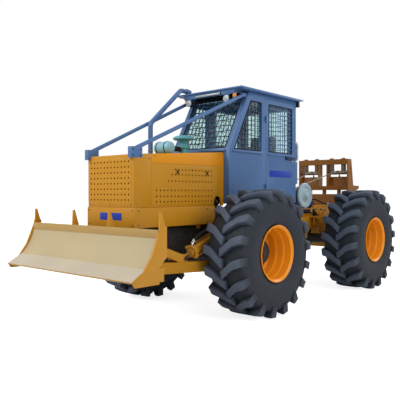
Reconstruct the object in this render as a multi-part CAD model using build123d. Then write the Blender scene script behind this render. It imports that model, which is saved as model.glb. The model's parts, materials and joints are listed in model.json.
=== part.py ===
"""Articulated cable log skidder with a front dozer blade, a guarded cab, a drum winch and a fairlead arch.

Forward is -Y, the machine's left is +X and up is +Z. Lengths in millimetres are laid out from the front axle on the
ground, and every finished piece is moved so that the middle of the whole machine stands over the origin.
"""

import os
from math import atan2, degrees, hypot

from build123d import *

os.makedirs("parts", exist_ok=True)

# Driving sizes of the whole machine.
ORIGIN_Y = 859.0
WHEELBASE = 2830.0
TRACK_HALF = 1060.0
TYRE_R = 803.5
AXLE_Z = TYRE_R
PIVOT_Y = 1550.0

# Clearances and plate gauges.
RUN_GAP = 0.3
FACE_GAP = 6.0
PLATE = 20.0
WALL = 50.0

# Tyres and rims.
TYRE_HALF = 292.0
CARCASS_R = 752.0
LUG_TOP = 794.0
LUG_COUNT = 18
BEAD_R = 332.0
FLANGE_R = 356.0
RIM_HALF = 279.0
DISC_X = -60.0
DISC_T = 18.0
HUB_R = 150.0
HUB_FACE_X = 60.0
SPINDLE_R = 70.0

# Hood and skirt.
HOOD_HALF = 430.0
HOOD_FRONT = -1560.0
HOOD_REAR = 40.0
HOOD_BASE = 1384.0
HOOD_TOP_FRONT = 2000.0
HOOD_TOP_REAR = 2107.0
HOOD_WALL = 30.0
SKIRT_HALF = 438.0
SKIRT_BASE = 1150.0
SKIRT_REAR = -140.0

# Cab and roof.
CAB_HALF = 530.0
CAB_FRONT = 40.0
CAB_REAR = 1708.0
CAB_BASE = 1410.0
CAB_EAVE = 2979.0
PILLAR_FOOT_Z = 2147.0
PILLAR_HEAD_Y = 485.0
DOOR_FRONT = 888.0
DOOR_REAR = 1662.0
DOOR_BASE = 1452.0
DOOR_HEAD = 2930.0
WINDOW_SILL = 2162.0
WINDOW_HEAD = 2850.0
GLASS = 6.0
ROOF_HALF = 600.0
ROOF_FRONT = 200.0
ROOF_REAR = 1820.0
ROOF_T = 40.0

# Blade and push arms.
BLADE_HALF = 1160.0
BLADE_TOP = (-1862.0, 1180.0)
BLADE_EDGE = (-2224.0, 680.0)
ARM_X = 660.0
ARM_W = 100.0
ARM_PIVOT = (-330.0, 635.0)
CLEVIS = (-1015.0, 788.0)
LIFT_MOUNT = (-200.0, 1060.0)
LIFT_R = 62.0
LIFT_ROD_R = 26.0
PIN_R = 28.0

# Frames, steering and rear end.
RAIL_HALF = 330.0
RAIL_TOP = 1145.0
RAIL_BASE = 960.0
TAIL_TOP = 1140.0
TAIL_BASE = 660.0
TAIL_T = 36.0
PIVOT_PIN_R = 46.0
HEAD_R = 96.0
STEER_FRONT = (220.0, 890.0)
STEER_REAR = (250.0, 1590.0)
STEER_Z = 900.0
STEER_R = 45.0
STEER_ROD_R = 22.0
STEER_BARREL = 430.0
EYE_HALF = 28.0
EYE_GAP = 1.0
EAR_T = 24.0
DECK_Z = 1300.0
DECK_HALF = 400.0
TOOL_PAD_HALF = 300.0
WINCH_Y = 2300.0
WINCH_Z = 1515.0
WINCH_R = 210.0
WINCH_FACE = 360.0
DRUM_R = 110.0
ARCH_Y = 3500.0
ARCH_HALF = 510.0
ARCH_TOP = 2180.0
ARCH_SILL = 1615.0
ROLLER_R = 30.0
BUTT_HALF = 1150.0
BUTT_Y = 3800.0


def box(x0, x1, y0, y1, z0, z1):
    """A block between two corners."""
    middle = ((x0 + x1) / 2, (y0 + y1) / 2, (z0 + z1) / 2)
    return Pos(*middle) * Box(abs(x1 - x0), abs(y1 - y0), abs(z1 - z0))


def side_plate(points, x0, x1):
    """A plate with a (y, z) outline that runs from x0 to x1."""
    return extrude(Plane.YZ.offset(x0) * Polygon(*points, align=None), x1 - x0, dir=(1, 0, 0))


def front_plate(points, y0, y1):
    """A plate with an (x, z) outline that runs from y0 to y1."""
    return extrude(Plane.XZ.offset(-y0) * Polygon(*points, align=None), y1 - y0, dir=(0, 1, 0))


def floor_plate(points, z0, z1):
    """A plate with an (x, y) outline that runs from z0 to z1."""
    return extrude(Plane.XY.offset(z0) * Polygon(*points, align=None), z1 - z0, dir=(0, 0, 1))


def bar(start, end, radius):
    """A round bar between two points."""
    line = Vector(*end) - Vector(*start)
    plane = Plane(origin=start, z_dir=line)
    return extrude(plane * Circle(radius), line.length)


def cross_bar(y, z, x0, x1, radius):
    """A round bar along X."""
    return bar((x0, y, z), (x1, y, z), radius)


def upright(x, y, z0, z1, radius):
    """A round bar along Z."""
    return bar((x, y, z0), (x, y, z1), radius)


def pair(shape):
    """A shape together with its mirror image on the other side."""
    return shape + mirror(shape, Plane.YZ)


def save(shape, name):
    """Moves a finished piece to the shared origin and writes it."""
    moved = Pos(0, -ORIGIN_Y, 0) * shape
    moved.label = name
    export_step(moved, f"parts/{name}.step")


# ---------------------------------------------------------------- wheels
# A tyre is one rubber ring with two rows of bent chevron lugs, half a pitch apart. Each lug runs from the middle of
# the tread to the shoulder and ends on the shoulder's slope.
def tyre():
    with BuildSketch(Plane.XY) as outline:
        with BuildLine():
            Line((-235, BEAD_R + RUN_GAP), (235, BEAD_R + RUN_GAP))
            Line((235, BEAD_R + RUN_GAP), (262, FLANGE_R + 14))
            ThreePointArc((262, FLANGE_R + 14), (TYRE_HALF, 545), (262, 690))
            Line((262, 690), (205, 738))
            ThreePointArc((205, 738), (0, CARCASS_R), (-205, 738))
            Line((-205, 738), (-262, 690))
            ThreePointArc((-262, 690), (-TYRE_HALF, 545), (-262, FLANGE_R + 14))
            Line((-262, FLANGE_R + 14), (-235, BEAD_R + RUN_GAP))
        make_face()
    ring = revolve(outline.sketch, Axis.X)
    lug_plan = [(-12, -120), (-12, -46), (150, 84), (286, 132), (286, 64), (150, 8)]
    lug_side = [(-14, 700), (-14, LUG_TOP), (222, LUG_TOP), (286, 736), (286, 660), (240, 660)]
    lug = floor_plate(lug_plan, 650, 850) & front_plate(lug_side, -200, 200)
    pitch = 360 / LUG_COUNT
    for row, first in ((lug, 0.0), (mirror(lug, Plane.YZ), pitch / 2)):
        ring += [Rot(first + pitch * step, 0, 0) * row for step in range(LUG_COUNT)]
    return ring


# A rim is a pressed barrel with rolled flanges and a gutter step, a dished disc set far inboard and a hub drum.
def rim():
    shell = [
        (-RIM_HALF, FLANGE_R),
        (-RIM_HALF, FLANGE_R - 12),
        (-RIM_HALF + 24, BEAD_R - 12),
        (-90, BEAD_R - 14),
        (DISC_X - DISC_T, 300),
        (DISC_X - DISC_T, HUB_R),
        (DISC_X, HUB_R),
        (DISC_X, 288),
        (40, 288),
        (70, BEAD_R - 26),
        (150, BEAD_R - 26),
        (168, BEAD_R - 12),
        (RIM_HALF - 24, BEAD_R - 12),
        (RIM_HALF, FLANGE_R - 12),
        (RIM_HALF, FLANGE_R),
        (RIM_HALF - 14, FLANGE_R),
        (RIM_HALF - 40, BEAD_R),
        (-RIM_HALF + 40, BEAD_R),
        (-RIM_HALF + 14, FLANGE_R),
    ]
    return revolve(Polygon(*shell, align=None), Axis.X)


def hub():
    drum = bar((DISC_X - DISC_T - 60, 0, 0), (HUB_FACE_X, 0, 0), HUB_R - RUN_GAP)
    drum = chamfer(drum.edges().filter_by(GeomType.CIRCLE).group_by(Axis.X)[-1], 18)
    drum += bar((HUB_FACE_X, 0, 0), (HUB_FACE_X + 25, 0, 0), 62)
    drum += bar((DISC_X, 0, 0), (DISC_X + 14, 0, 0), 235) - bar((DISC_X, 0, 0), (DISC_X + 14, 0, 0), HUB_R - 1)
    drum -= bar((DISC_X - DISC_T - 60, 0, 0), (DISC_X - DISC_T + 20, 0, 0), SPINDLE_R + RUN_GAP)
    return drum


TYRE = tyre()
RIM = rim()
HUB = hub()
WHEELS = (
    # name, side, axle y
    ("front_left", 1, 0.0),
    ("front_right", -1, 0.0),
    ("rear_left", 1, WHEELBASE),
    ("rear_right", -1, WHEELBASE),
)
for name, side, axle_y in WHEELS:
    place = Pos(side * TRACK_HALF, axle_y, AXLE_Z)
    for kind, shape in (("tyre", TYRE), ("rim", RIM + HUB)):
        handed = shape if side > 0 else mirror(shape, Plane.YZ)
        save(place * handed, f"{kind}_{name}")


# ---------------------------------------------------------------- axles
# Each axle is a cast beam with a round differential case, tapered arms and a flanged end that carries the hub.
def axle(axle_y):
    hub_back = TRACK_HALF + DISC_X - DISC_T - 60
    arm = [(0, 105), (300, 105), (620, 78), (760, 78), (760, 150), (hub_back - FACE_GAP, 150)]
    arm += [(hub_back - FACE_GAP, SPINDLE_R), (hub_back + 70, SPINDLE_R), (hub_back + 70, 0), (0, 0)]
    half = revolve(Polygon(*arm, align=None), Axis.X)
    case = bar((-120, 0, 0), (120, 0, 0), 215)
    case = chamfer(case.edges().filter_by(GeomType.CIRCLE), 60)
    nose = bar((0, 0, 0), (0, 300, 0), 80)
    return Pos(0, axle_y, AXLE_Z) * (pair(half) + case + nose)


FRONT_AXLE = axle(0.0)
REAR_AXLE = axle(WHEELBASE)
save(FRONT_AXLE, "front_axle")
save(REAR_AXLE, "rear_axle")


# ---------------------------------------------------------------- front frame
# Two deep side rails on cross tubes carry the engine. They stand on the axle by two saddles and narrow behind the
# cab into a forked tail with the centre pin. Brackets reach out to the blade's arms and lift cylinders.
rail_outline = [
    (-1500, RAIL_TOP),
    (-1500, 960),
    (-1250, 780),
    (-500, 700),
    (-240, 700),
    (-200, RAIL_BASE),
    (200, RAIL_BASE),
    (300, 820),
    (1000, 700),
    (1120, 700),
    (1120, TAIL_TOP),
    (700, RAIL_TOP),
]
frame = pair(side_plate(rail_outline, RAIL_HALF - PLATE, RAIL_HALF))
frame += front_plate([(-RAIL_HALF, 960), (RAIL_HALF, 960), (RAIL_HALF, RAIL_TOP), (-RAIL_HALF, RAIL_TOP)], -1500, -1470)
for tube_y, tube_z in ((-1200, 900), (-460, 790), (560, 860)):
    frame += cross_bar(tube_y, tube_z, -RAIL_HALF + 5, RAIL_HALF - 5, 50)
tail_plan = [
    (-RAIL_HALF, 760),
    (RAIL_HALF, 760),
    (RAIL_HALF, 1118),
    (110, PIVOT_Y - 60),
    (110, PIVOT_Y),
    (-110, PIVOT_Y),
    (-110, PIVOT_Y - 60),
    (-RAIL_HALF, 1118),
]
for tail_z in (TAIL_TOP - TAIL_T, TAIL_BASE):
    frame += floor_plate(tail_plan, tail_z, tail_z + TAIL_T)
    frame += upright(0, PIVOT_Y, tail_z, tail_z + TAIL_T, 110)
frame += box(-60, 60, 900, PIVOT_Y - 170, TAIL_BASE + TAIL_T - 1, TAIL_TOP - TAIL_T + 1)
frame += pair(side_plate([(760, 661), (1118, 661), (1118, 720), (760, 780)], RAIL_HALF - PLATE, RAIL_HALF))
frame += upright(0, PIVOT_Y, TAIL_BASE - 20, TAIL_TOP + 20, PIVOT_PIN_R)
for saddle_x in (-210, 210):
    frame += box(saddle_x - 60, saddle_x + 60, -130, 130, AXLE_Z + 60, RAIL_BASE + 40)
    frame += box(saddle_x, saddle_x + (100 if saddle_x > 0 else -100), -130, 130, RAIL_BASE, RAIL_BASE + 40)
frame += pair(box(RAIL_HALF - 5, ARM_X - ARM_W / 2 - FACE_GAP, -420, -250, 560, 745))
frame += pair(box(RAIL_HALF - 5, ARM_X - LIFT_R - FACE_GAP, -260, -140, 990, 1130))
frame += pair(cross_bar(*ARM_PIVOT, ARM_X - 120, ARM_X + ARM_W / 2 + 12, PIN_R))
frame += pair(cross_bar(*LIFT_MOUNT, ARM_X - 120, ARM_X + 66, PIN_R))
ear_plan = [(55, 830), (280, 850), (280, 925), (150, 925), (55, 1000)]
for ear_z in (STEER_Z - EYE_HALF - EYE_GAP - EAR_T, STEER_Z + EYE_HALF + EYE_GAP):
    frame += pair(floor_plate(ear_plan, ear_z, ear_z + EAR_T))
frame += pair(upright(*STEER_FRONT, STEER_Z - 70, STEER_Z + 70, PIN_R))
frame -= FRONT_AXLE
save(frame, "front_frame")


# A plain block stands for the engine, with the radiator core and its fan shroud in front of it.
engine = box(-260, 260, -1080, -60, 1050, 1650)
engine += box(-330, 330, -1400, -1320, 1160, 1930)
engine += bar((0, -1320, 1500), (0, -1080, 1500), 90)
engine += box(-310, 310, -700, -640, 1040, 1080)
save(engine, "engine")

# ---------------------------------------------------------------- hood
# The hood is a folded sheet shell, open below and behind, with a top that rises to the cab. The skirt closes the
# machine between hood and rails.
hood_side = [
    (HOOD_FRONT, HOOD_BASE),
    (HOOD_FRONT, HOOD_TOP_FRONT),
    (HOOD_REAR, HOOD_TOP_REAR),
    (HOOD_REAR, HOOD_BASE),
]
hood = side_plate(hood_side, -HOOD_HALF, HOOD_HALF)
hood = chamfer(hood.edges().filter_by(Axis.Z).group_by(Axis.Y)[0], 14)
hood_block = hood
hood_room = [
    (HOOD_FRONT + HOOD_WALL, HOOD_BASE - 1),
    (HOOD_FRONT + HOOD_WALL, HOOD_TOP_FRONT - HOOD_WALL),
    (HOOD_REAR + 1, HOOD_TOP_REAR - HOOD_WALL),
    (HOOD_REAR + 1, HOOD_BASE - 1),
]
hood -= side_plate(hood_room, -HOOD_HALF + HOOD_WALL, HOOD_HALF - HOOD_WALL)
arch_cut = box(-500, 500, -154, -9, HOOD_BASE - 1, 1440) + cross_bar(-81.5, 1440, -500, 500, 72.5)
hood -= arch_cut
save(hood, "hood")

skirt_side = [
    (HOOD_FRONT, HOOD_BASE),
    (SKIRT_REAR, HOOD_BASE),
    (SKIRT_REAR, 1210),
    (SKIRT_REAR - 50, SKIRT_BASE),
    (HOOD_FRONT, SKIRT_BASE),
]
skirt = side_plate(skirt_side, -SKIRT_HALF, SKIRT_HALF)
skirt -= box(-SKIRT_HALF + PLATE, SKIRT_HALF - PLATE, HOOD_FRONT + PLATE, 0, SKIRT_BASE - 1, HOOD_BASE - PLATE)
skirt -= box(-SKIRT_HALF + 40, SKIRT_HALF - 40, HOOD_FRONT + 40, 0, SKIRT_BASE - 1, HOOD_BASE + 1)
skirt += pair(box(RAIL_HALF, SKIRT_HALF - 5, -1400, -1340, 1160, 1200) + box(RAIL_HALF, SKIRT_HALF - 5, -400, -340, 1160, 1200))
skirt += pair(box(RAIL_HALF, RAIL_HALF + 25, -1400, -1340, 1090, 1200) + box(RAIL_HALF, RAIL_HALF + 25, -400, -340, 1090, 1200))
save(skirt, "skirt")

# The pre-cleaner is a mushroom on a stack, beside the air filter's lying drum with its two clamp bands.
cleaner_cap = [(0, 2262), (60, 2262), (126, 2272), (143, 2290), (140, 2306), (96, 2328), (0, 2336)]
cleaner = Pos(0, -290, 0) * revolve(Plane.XZ * Polygon(*cleaner_cap, align=None), Axis.Z)
cleaner += upright(0, -290, 2076, 2264, 62)
cleaner += upright(0, -290, 2165, 2190, 82)
filter_drum = bar((-150, -656, 2145), (150, -656, 2145), 78)
filter_drum = fillet(filter_drum.edges().filter_by(GeomType.CIRCLE), 40)
for band_x in (-70, 62):
    filter_drum += cross_bar(-656, 2145, band_x, band_x + 18, 84)
cleaner += filter_drum
cleaner += bar((0, -590, 2145), (0, -330, 2145), 34)
cleaner += pair(box(40, 100, -690, -620, 2052, 2100))
save(cleaner - hood_block, "air_cleaner")

# The exhaust leaves the hood's right side, bends back along the limb riser and ends in a collar over the roof.
EXHAUST = (
    # x, y, z along the pipe's middle
    (-380, -543, 2040),
    (-380, -543, 2505),
    (-500, 180, 3072),
    (-500, 385, 3072),
)
with BuildLine() as pipe_line:
    FilletPolyline(*EXHAUST, radius=90)
pipe_start = pipe_line.line @ 0
with BuildSketch(Plane(origin=pipe_start, z_dir=(0, 0, 1))) as pipe_ring:
    Circle(33)
exhaust = sweep(pipe_ring.sketch, path=pipe_line.line)
exhaust -= bar((-500, 290, 3072), (-500, 400, 3072), 27)
exhaust += bar((-500, 300, 3072), (-500, 330, 3072), 40) - bar((-500, 290, 3072), (-500, 340, 3072), 30)
exhaust += upright(-380, -543, 2046, 2075, 50)
save(exhaust - hood_block, "exhaust")

# Limb risers run from the hood's front corners to the cab's eaves and push branches over the machine.
riser = bar((400, -1505, 2072), (508, 380, 2912), 25)
riser += side_plate([(-1600, 1960), (-1434, 1960), (-1434, 2085), (-1600, 2085)], 370, 432)
riser -= hood_block
riser += box(486, 530, 340, 420, 2890, 2940)
save(pair(riser), "limb_risers")

# ---------------------------------------------------------------- cab
# The cab is a welded steel room. Its front slopes with the pillars and the lower wall is upright. Doors, side
# lights, windscreen and rear window are cut from the walls, and each pane stands inside its opening.
SLOPE = hypot(PILLAR_HEAD_Y - CAB_FRONT, CAB_EAVE - PILLAR_FOOT_Z)
SLOPE_Y = (PILLAR_HEAD_Y - CAB_FRONT) / SLOPE
SLOPE_Z = (CAB_EAVE - PILLAR_FOOT_Z) / SLOPE
SCREEN_LOW = 32.0
SCREEN_HIGH = SLOPE - 92.0
SCREEN_HALF = 446.0
REAR_HALF = 400.0


def on_slope(along, inward):
    """The (y, z) place on the sloping front, measured up along it and inward from its face."""
    return (
        CAB_FRONT + SLOPE_Y * along + SLOPE_Z * inward,
        PILLAR_FOOT_Z + SLOPE_Z * along - SLOPE_Y * inward,
    )


def screen_slab(low, high, near, far):
    """The outline of a slab on the sloping front between two heights and two depths."""
    return [on_slope(low, near), on_slope(high, near), on_slope(high, far), on_slope(low, far)]


cab_side = [
    (CAB_FRONT, CAB_BASE),
    (CAB_FRONT, PILLAR_FOOT_Z),
    (PILLAR_HEAD_Y, CAB_EAVE),
    (CAB_REAR, CAB_EAVE),
    (CAB_REAR, CAB_BASE),
]
quarter_light = [(150, WINDOW_SILL), (528, WINDOW_HEAD), (774, WINDOW_HEAD), (774, WINDOW_SILL)]
cab = side_plate(cab_side, -CAB_HALF, CAB_HALF)
inner_side = offset(Polygon(*cab_side, align=None), -WALL)
cab -= extrude(Plane.YZ.offset(-CAB_HALF + WALL) * inner_side, 2 * (CAB_HALF - WALL), dir=(1, 0, 0))
cab -= side_plate(screen_slab(SCREEN_LOW, SCREEN_HIGH, -80, 100), -SCREEN_HALF, SCREEN_HALF)
cab -= side_plate(quarter_light, -600, 600)
cab -= pair(box(CAB_HALF - WALL, 600, DOOR_FRONT, DOOR_REAR, DOOR_BASE, DOOR_HEAD))
cab -= box(-REAR_HALF, REAR_HALF, CAB_REAR - 60, CAB_REAR + 60, WINDOW_SILL, WINDOW_HEAD)
sill_y = CAB_FRONT + 6
cab += box(-SCREEN_HALF - 20, SCREEN_HALF + 20, CAB_FRONT - 34, sill_y, 2122, 2142)
cab += pair(box(CAB_HALF, CAB_HALF + 16, 110, 800, 2116, 2138))
cab += pair(box(380, 500, CAB_REAR, CAB_REAR + 96, 1700, 2330))
save(cab, "cab_shell")

roof_side = [
    (ROOF_FRONT, 2990),
    (ROOF_FRONT, 3008),
    (ROOF_FRONT + 70, 3024),
    (ROOF_REAR - 70, 3034),
    (ROOF_REAR, 3016),
    (ROOF_REAR, 2996),
    (ROOF_REAR - 90, CAB_EAVE),
    (ROOF_FRONT + 90, CAB_EAVE),
]
roof = side_plate(roof_side, -ROOF_HALF, ROOF_HALF)
roof_front = [
    (-ROOF_HALF - 1, 3050),
    (-ROOF_HALF - 1, 3010),
    (-ROOF_HALF + 70, 3036),
    (ROOF_HALF - 70, 3036),
    (ROOF_HALF + 1, 3010),
    (ROOF_HALF + 1, 3050),
]
roof -= front_plate(roof_front, ROOF_FRONT - 10, ROOF_REAR + 10)
roof += box(-470, 470, 225, 245, 2925, 2992)
roof += pair(box(440, 470, 245, 400, 2940, 2985))
# Work lamps, amber lamps and the light strip hang from the roof's front lip, with a lamp at each rear corner.
roof += pair(bar((350, 190, 2862), (350, 250, 2862), 46) + box(330, 370, 228, 244, 2890, 2930))
roof += pair(upright(448, 262, 2880, 2945, 26))
roof += box(-232, 232, 205, 228, 2932, 2962)
roof += pair(box(500, 560, CAB_REAR + 6, CAB_REAR + 60, 2900, 2985))
save(roof, "cab_roof")

panes = side_plate(screen_slab(SCREEN_LOW, SCREEN_HIGH, 22, 22 + GLASS), -SCREEN_HALF, SCREEN_HALF)
panes += pair(side_plate(quarter_light, CAB_HALF - 30, CAB_HALF - 30 + GLASS))
panes += box(-REAR_HALF, REAR_HALF, CAB_REAR - 30, CAB_REAR - 30 + GLASS, WINDOW_SILL, WINDOW_HEAD)
save(panes, "cab_glass")

# Branch guards are welded grids of square bar, in the plane of each window's outer face.
GUARD_BAR = 8.0


def grid(along, up, columns, rows, depth):
    """A flat grid that fills a window along by up, standing in the local XY plane with its bars depth deep."""
    shape = None
    for column in range(1, columns):
        x = along * column / columns
        upright_bar = Pos(x, up / 2, depth / 2) * Box(GUARD_BAR, up, depth)
        shape = upright_bar if shape is None else shape + upright_bar
    for row in range(1, rows):
        shape += Pos(along / 2, up * row / rows, depth / 2) * Box(along, GUARD_BAR, depth)
    return shape


slope_foot = on_slope(SCREEN_LOW, 0)
slope_plane = Plane(origin=(-SCREEN_HALF, *slope_foot), x_dir=(1, 0, 0), z_dir=(0, -SLOPE_Z, SLOPE_Y))
screen_guard = slope_plane.location * (Pos(0, 0, -10) * grid(2 * SCREEN_HALF, SCREEN_HIGH - SCREEN_LOW, 12, 9, 10))
side_plane = Plane(origin=(CAB_HALF - 10, 150, WINDOW_SILL), x_dir=(0, 1, 0), z_dir=(1, 0, 0))
quarter_guard = side_plane.location * grid(774 - 150, WINDOW_HEAD - WINDOW_SILL, 8, 10, 8)
quarter_guard &= side_plate(quarter_light, 0, 700)
rear_plane = Plane(origin=(-REAR_HALF, CAB_REAR - 2, WINDOW_SILL), x_dir=(1, 0, 0), z_dir=(0, -1, 0))
rear_guard = rear_plane.location * grid(2 * REAR_HALF, WINDOW_HEAD - WINDOW_SILL, 10, 9, 8)
guards = screen_guard + quarter_guard + mirror(quarter_guard, Plane.YZ) + rear_guard
save(guards, "window_guards")

# Each door hangs on two barrels at its front edge and carries its own pane, guard and outside handle.
DOOR_WINDOW = (970.0, 1590.0)
DOOR_HINGE = (CAB_HALF + 14, DOOR_FRONT - 6)
door = box(CAB_HALF - WALL, CAB_HALF, DOOR_FRONT + 5, DOOR_REAR - 5, DOOR_BASE + 5, DOOR_HEAD - 5)
door -= box(400, 600, *DOOR_WINDOW, WINDOW_SILL, WINDOW_HEAD)
door_plane = Plane(origin=(CAB_HALF - 10, DOOR_WINDOW[0], WINDOW_SILL), x_dir=(0, 1, 0), z_dir=(1, 0, 0))
door += door_plane.location * grid(DOOR_WINDOW[1] - DOOR_WINDOW[0], WINDOW_HEAD - WINDOW_SILL, 10, 11, 8)
door += box(CAB_HALF, CAB_HALF + 14, DOOR_WINDOW[0] - 16, DOOR_WINDOW[1] + 16, 2112, 2136)
door += box(CAB_HALF, CAB_HALF + 34, 1430, 1452, 2074, 2096)
door += box(CAB_HALF, CAB_HALF + 34, 1608, 1630, 2074, 2096)
door += box(CAB_HALF + 26, CAB_HALF + 44, 1420, 1640, 2072, 2098)
for hinge_z in (1641, 2627):
    door += upright(*DOOR_HINGE, hinge_z - 45, hinge_z + 45, 11)
    door += box(CAB_HALF, CAB_HALF + 9, DOOR_HINGE[1], DOOR_FRONT + 60, hinge_z - 40, hinge_z + 40)
pane = box(CAB_HALF - 30, CAB_HALF - 30 + GLASS, *DOOR_WINDOW, WINDOW_SILL, WINDOW_HEAD)
save(door, "door_left")
save(mirror(door, Plane.YZ), "door_right")
save(pane, "door_glass_left")
save(mirror(pane, Plane.YZ), "door_glass_right")

# Seat, dashboard with steering wheel, and a lever console on the right stand on the cab floor.
floor_z = CAB_BASE + WALL
seat_base = box(-170, 170, 1130, 1430, floor_z, 1790) + box(-215, 215, 1080, 1480, 1790, 1812)
seat_base += box(-40, 40, 1500, 1530, 1790, 1960) + box(-40, 40, 1470, 1530, 1790, 1812)
cushion = fillet(box(-240, 240, 1050, 1490, 1812.3, 1920).edges().filter_by(Axis.Z), 50)
back_side = [(1450, 1920.3), (1560, 1920.3), (1640, 2440), (1560, 2460)]
back = side_plate(back_side, -230, 230)
back -= box(-40.3, 40.3, 1499.7, 1530.3, 1900, 1960.3)
save(cushion + back, "seat")
dash_side = [(CAB_FRONT + WALL, 1880), (CAB_FRONT + WALL, 2090), (150, 2120), (300, 2060), (330, 1960), (300, 1880)]
console = side_plate(dash_side, -CAB_HALF + WALL, CAB_HALF - WALL)
console += bar((0, 330, floor_z), (0, 640, 2150), 32)
wheel_plane = Plane(origin=(0, 645, 2158), z_dir=(0, 310, 690))
console += wheel_plane.location * Torus(195, 15)
console += wheel_plane.location * Cylinder(46, 34)
for spoke in range(3):
    console += wheel_plane.location * (Rot(0, 0, 90 + 120 * spoke) * (Pos(110, 0, 0) * Box(170, 26, 12)))
console += box(-470, -330, 900, 1400, floor_z, 1960)
for lever_y in (980, 1060, 1140):
    console += bar((-400, lever_y, 1955), (-400, lever_y, 2080), 7) + Pos(-400, lever_y, 2090) * Sphere(20)
console -= box(-300, 300, 100, 900, 1300, floor_z)
save(console + seat_base, "operator_console")

# Two treads on hangers let the driver climb in between the wheels, on both sides.
step = box(380, 500, 1000, 1350, CAB_BASE - 10, CAB_BASE)
for hanger_y in (1000, 1338):
    step += box(480, 500, hanger_y, hanger_y + 12, 800, CAB_BASE)
for tread_z in (800, 1090):
    step += box(480, 720, 1000, 1350, tread_z, tread_z + 14)
    step += box(706, 720, 1000, 1350, tread_z, tread_z + 50)
save(pair(step), "steps")

# ---------------------------------------------------------------- blade
# The moldboard is a rolled plate. Side plates, ribs and beams back it and two push arms carry it, each with a strut
# that holds the lift cylinder's eye between two cheeks.
MOLD_T = 18.0
mold_mid = (-1976.0, 882.0)
mold_back = (-1846.0, 1180.0)
mold_back_mid = (mold_mid[0] + 16, mold_mid[1] - 8)
mold_back_low = (BLADE_EDGE[0] + 22, BLADE_EDGE[1] - 12)
with BuildSketch(Plane.YZ) as mold_section:
    with BuildLine():
        ThreePointArc(BLADE_TOP, mold_mid, BLADE_EDGE)
        Line(BLADE_EDGE, mold_back_low)
        ThreePointArc(mold_back_low, mold_back_mid, mold_back)
        Line(mold_back, BLADE_TOP)
    make_face()
face = extrude(Plane.YZ.offset(-BLADE_HALF + PLATE) * mold_section.sketch_local, 2 * (BLADE_HALF - PLATE), dir=(1, 0, 0))
save(face, "blade_face")

cheek_front = [
    (BLADE_TOP[0], 1215),
    BLADE_TOP,
    (-1912, 1060),
    (-1976, 915),
    (-2080, 778),
    BLADE_EDGE,
    (-2190, 632),
    (-1870, 632),
    (-1870, 800),
    (-1763, 900),
    (-1763, 1215),
]
with BuildSketch(Plane.YZ) as forward_section:
    with BuildLine():
        ThreePointArc(BLADE_TOP, mold_mid, BLADE_EDGE)
        Line(BLADE_EDGE, (-2400, BLADE_EDGE[1]))
        Line((-2400, BLADE_EDGE[1]), (-2400, BLADE_TOP[1]))
        Line((-2400, BLADE_TOP[1]), BLADE_TOP)
    make_face()
clear_front = extrude(Plane.YZ.offset(-1300) * forward_section.sketch_local, 2600, dir=(1, 0, 0))
clear_front += extrude(Plane.YZ.offset(-1300) * mold_section.sketch_local, 2600, dir=(1, 0, 0))
prong_side = [(-1858, 1180), (-1850, 1356), (-1826, 1356), (-1770, 1180), (-1770, 1110), (-1843, 1110)]
blade = side_plate(prong_side, BLADE_HALF - 27, BLADE_HALF - 9) + side_plate(prong_side, 321, 339)
rib_side = [(-1845, 1150), (-1790, 1150), (-1790, 640), (-2060, 640), (-2168, 700), (-2030, 870), (-1925, 990)]
for rib_x in (220, ARM_X - 60, ARM_X + 60, 930):
    blade += side_plate(rib_side, rib_x - 5, rib_x + 5)
blade = pair(blade)
for low, high, front in ((1096, 1160, -1846), (650, 790, -2080)):
    blade += box(-BLADE_HALF + PLATE, BLADE_HALF - PLATE, front, -1785, low, high)
edge_side = [(-2226, 679), (-2232, 690), (-2129, 751), (-2122, 741)]
arm_side = [(-262, 570), (-262, 700), (-1270, 757), (-1800, 784), (-1800, 660), (-1270, 628)]
arm = side_plate(arm_side, ARM_X - ARM_W / 2, ARM_X + ARM_W / 2)
arm += cross_bar(*ARM_PIVOT, ARM_X - ARM_W / 2, ARM_X + ARM_W / 2, 78)
strut_side = [(-1870, 1120), (-1870, 1045), (-1075, 735), (-975, 728), (-975, 812), (-1005, 834), (-1060, 838)]
strut = side_plate(strut_side, ARM_X - 48, ARM_X + 48)
strut += cross_bar(*CLEVIS, ARM_X - 64, ARM_X + 64, 30)
arm += strut
eye_slot = (ARM_X - EYE_HALF - EYE_GAP, ARM_X + EYE_HALF + EYE_GAP)
arm -= box(*eye_slot, CLEVIS[0] - 74, -900, 726, 900)
arm -= cross_bar(*ARM_PIVOT, ARM_X - 80, ARM_X + 80, PIN_R + RUN_GAP)
blade += pair(arm)
blade -= clear_front
blade += side_plate(edge_side, -BLADE_HALF + 5, BLADE_HALF - 5) - face
blade += pair(side_plate(cheek_front, BLADE_HALF - PLATE, BLADE_HALF))
save(blade, "blade_frame")


def cylinder(mount, eye, barrel_length, radius, rod_radius, pin_radius):
    """A hydraulic cylinder laid along +Z from its mount pin: barrel with end eye, gland and ports, and rod with eye."""
    reach = hypot(eye[0] - mount[0], eye[1] - mount[1])
    barrel = upright(0, 0, 50, barrel_length, radius)
    barrel += cross_bar(0, 0, -EYE_HALF, EYE_HALF, radius - 6)
    barrel += box(-EYE_HALF, EYE_HALF, -radius * 0.7, radius * 0.7, 0, 60)
    barrel += upright(0, 0, barrel_length - 70, barrel_length, radius + 6)
    for port_z in (110, barrel_length - 45):
        barrel += bar((0, 0, port_z), (0, radius + 20, port_z), 13)
    barrel -= upright(0, 0, 62, barrel_length + 1, rod_radius + RUN_GAP)
    barrel -= cross_bar(0, 0, -80, 80, pin_radius + RUN_GAP)
    rod = upright(0, 0, reach - 470, reach - 30, rod_radius)
    rod += cross_bar(0, reach, -EYE_HALF, EYE_HALF, 40)
    rod -= cross_bar(0, reach, -80, 80, 24)
    return barrel, rod


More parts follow.
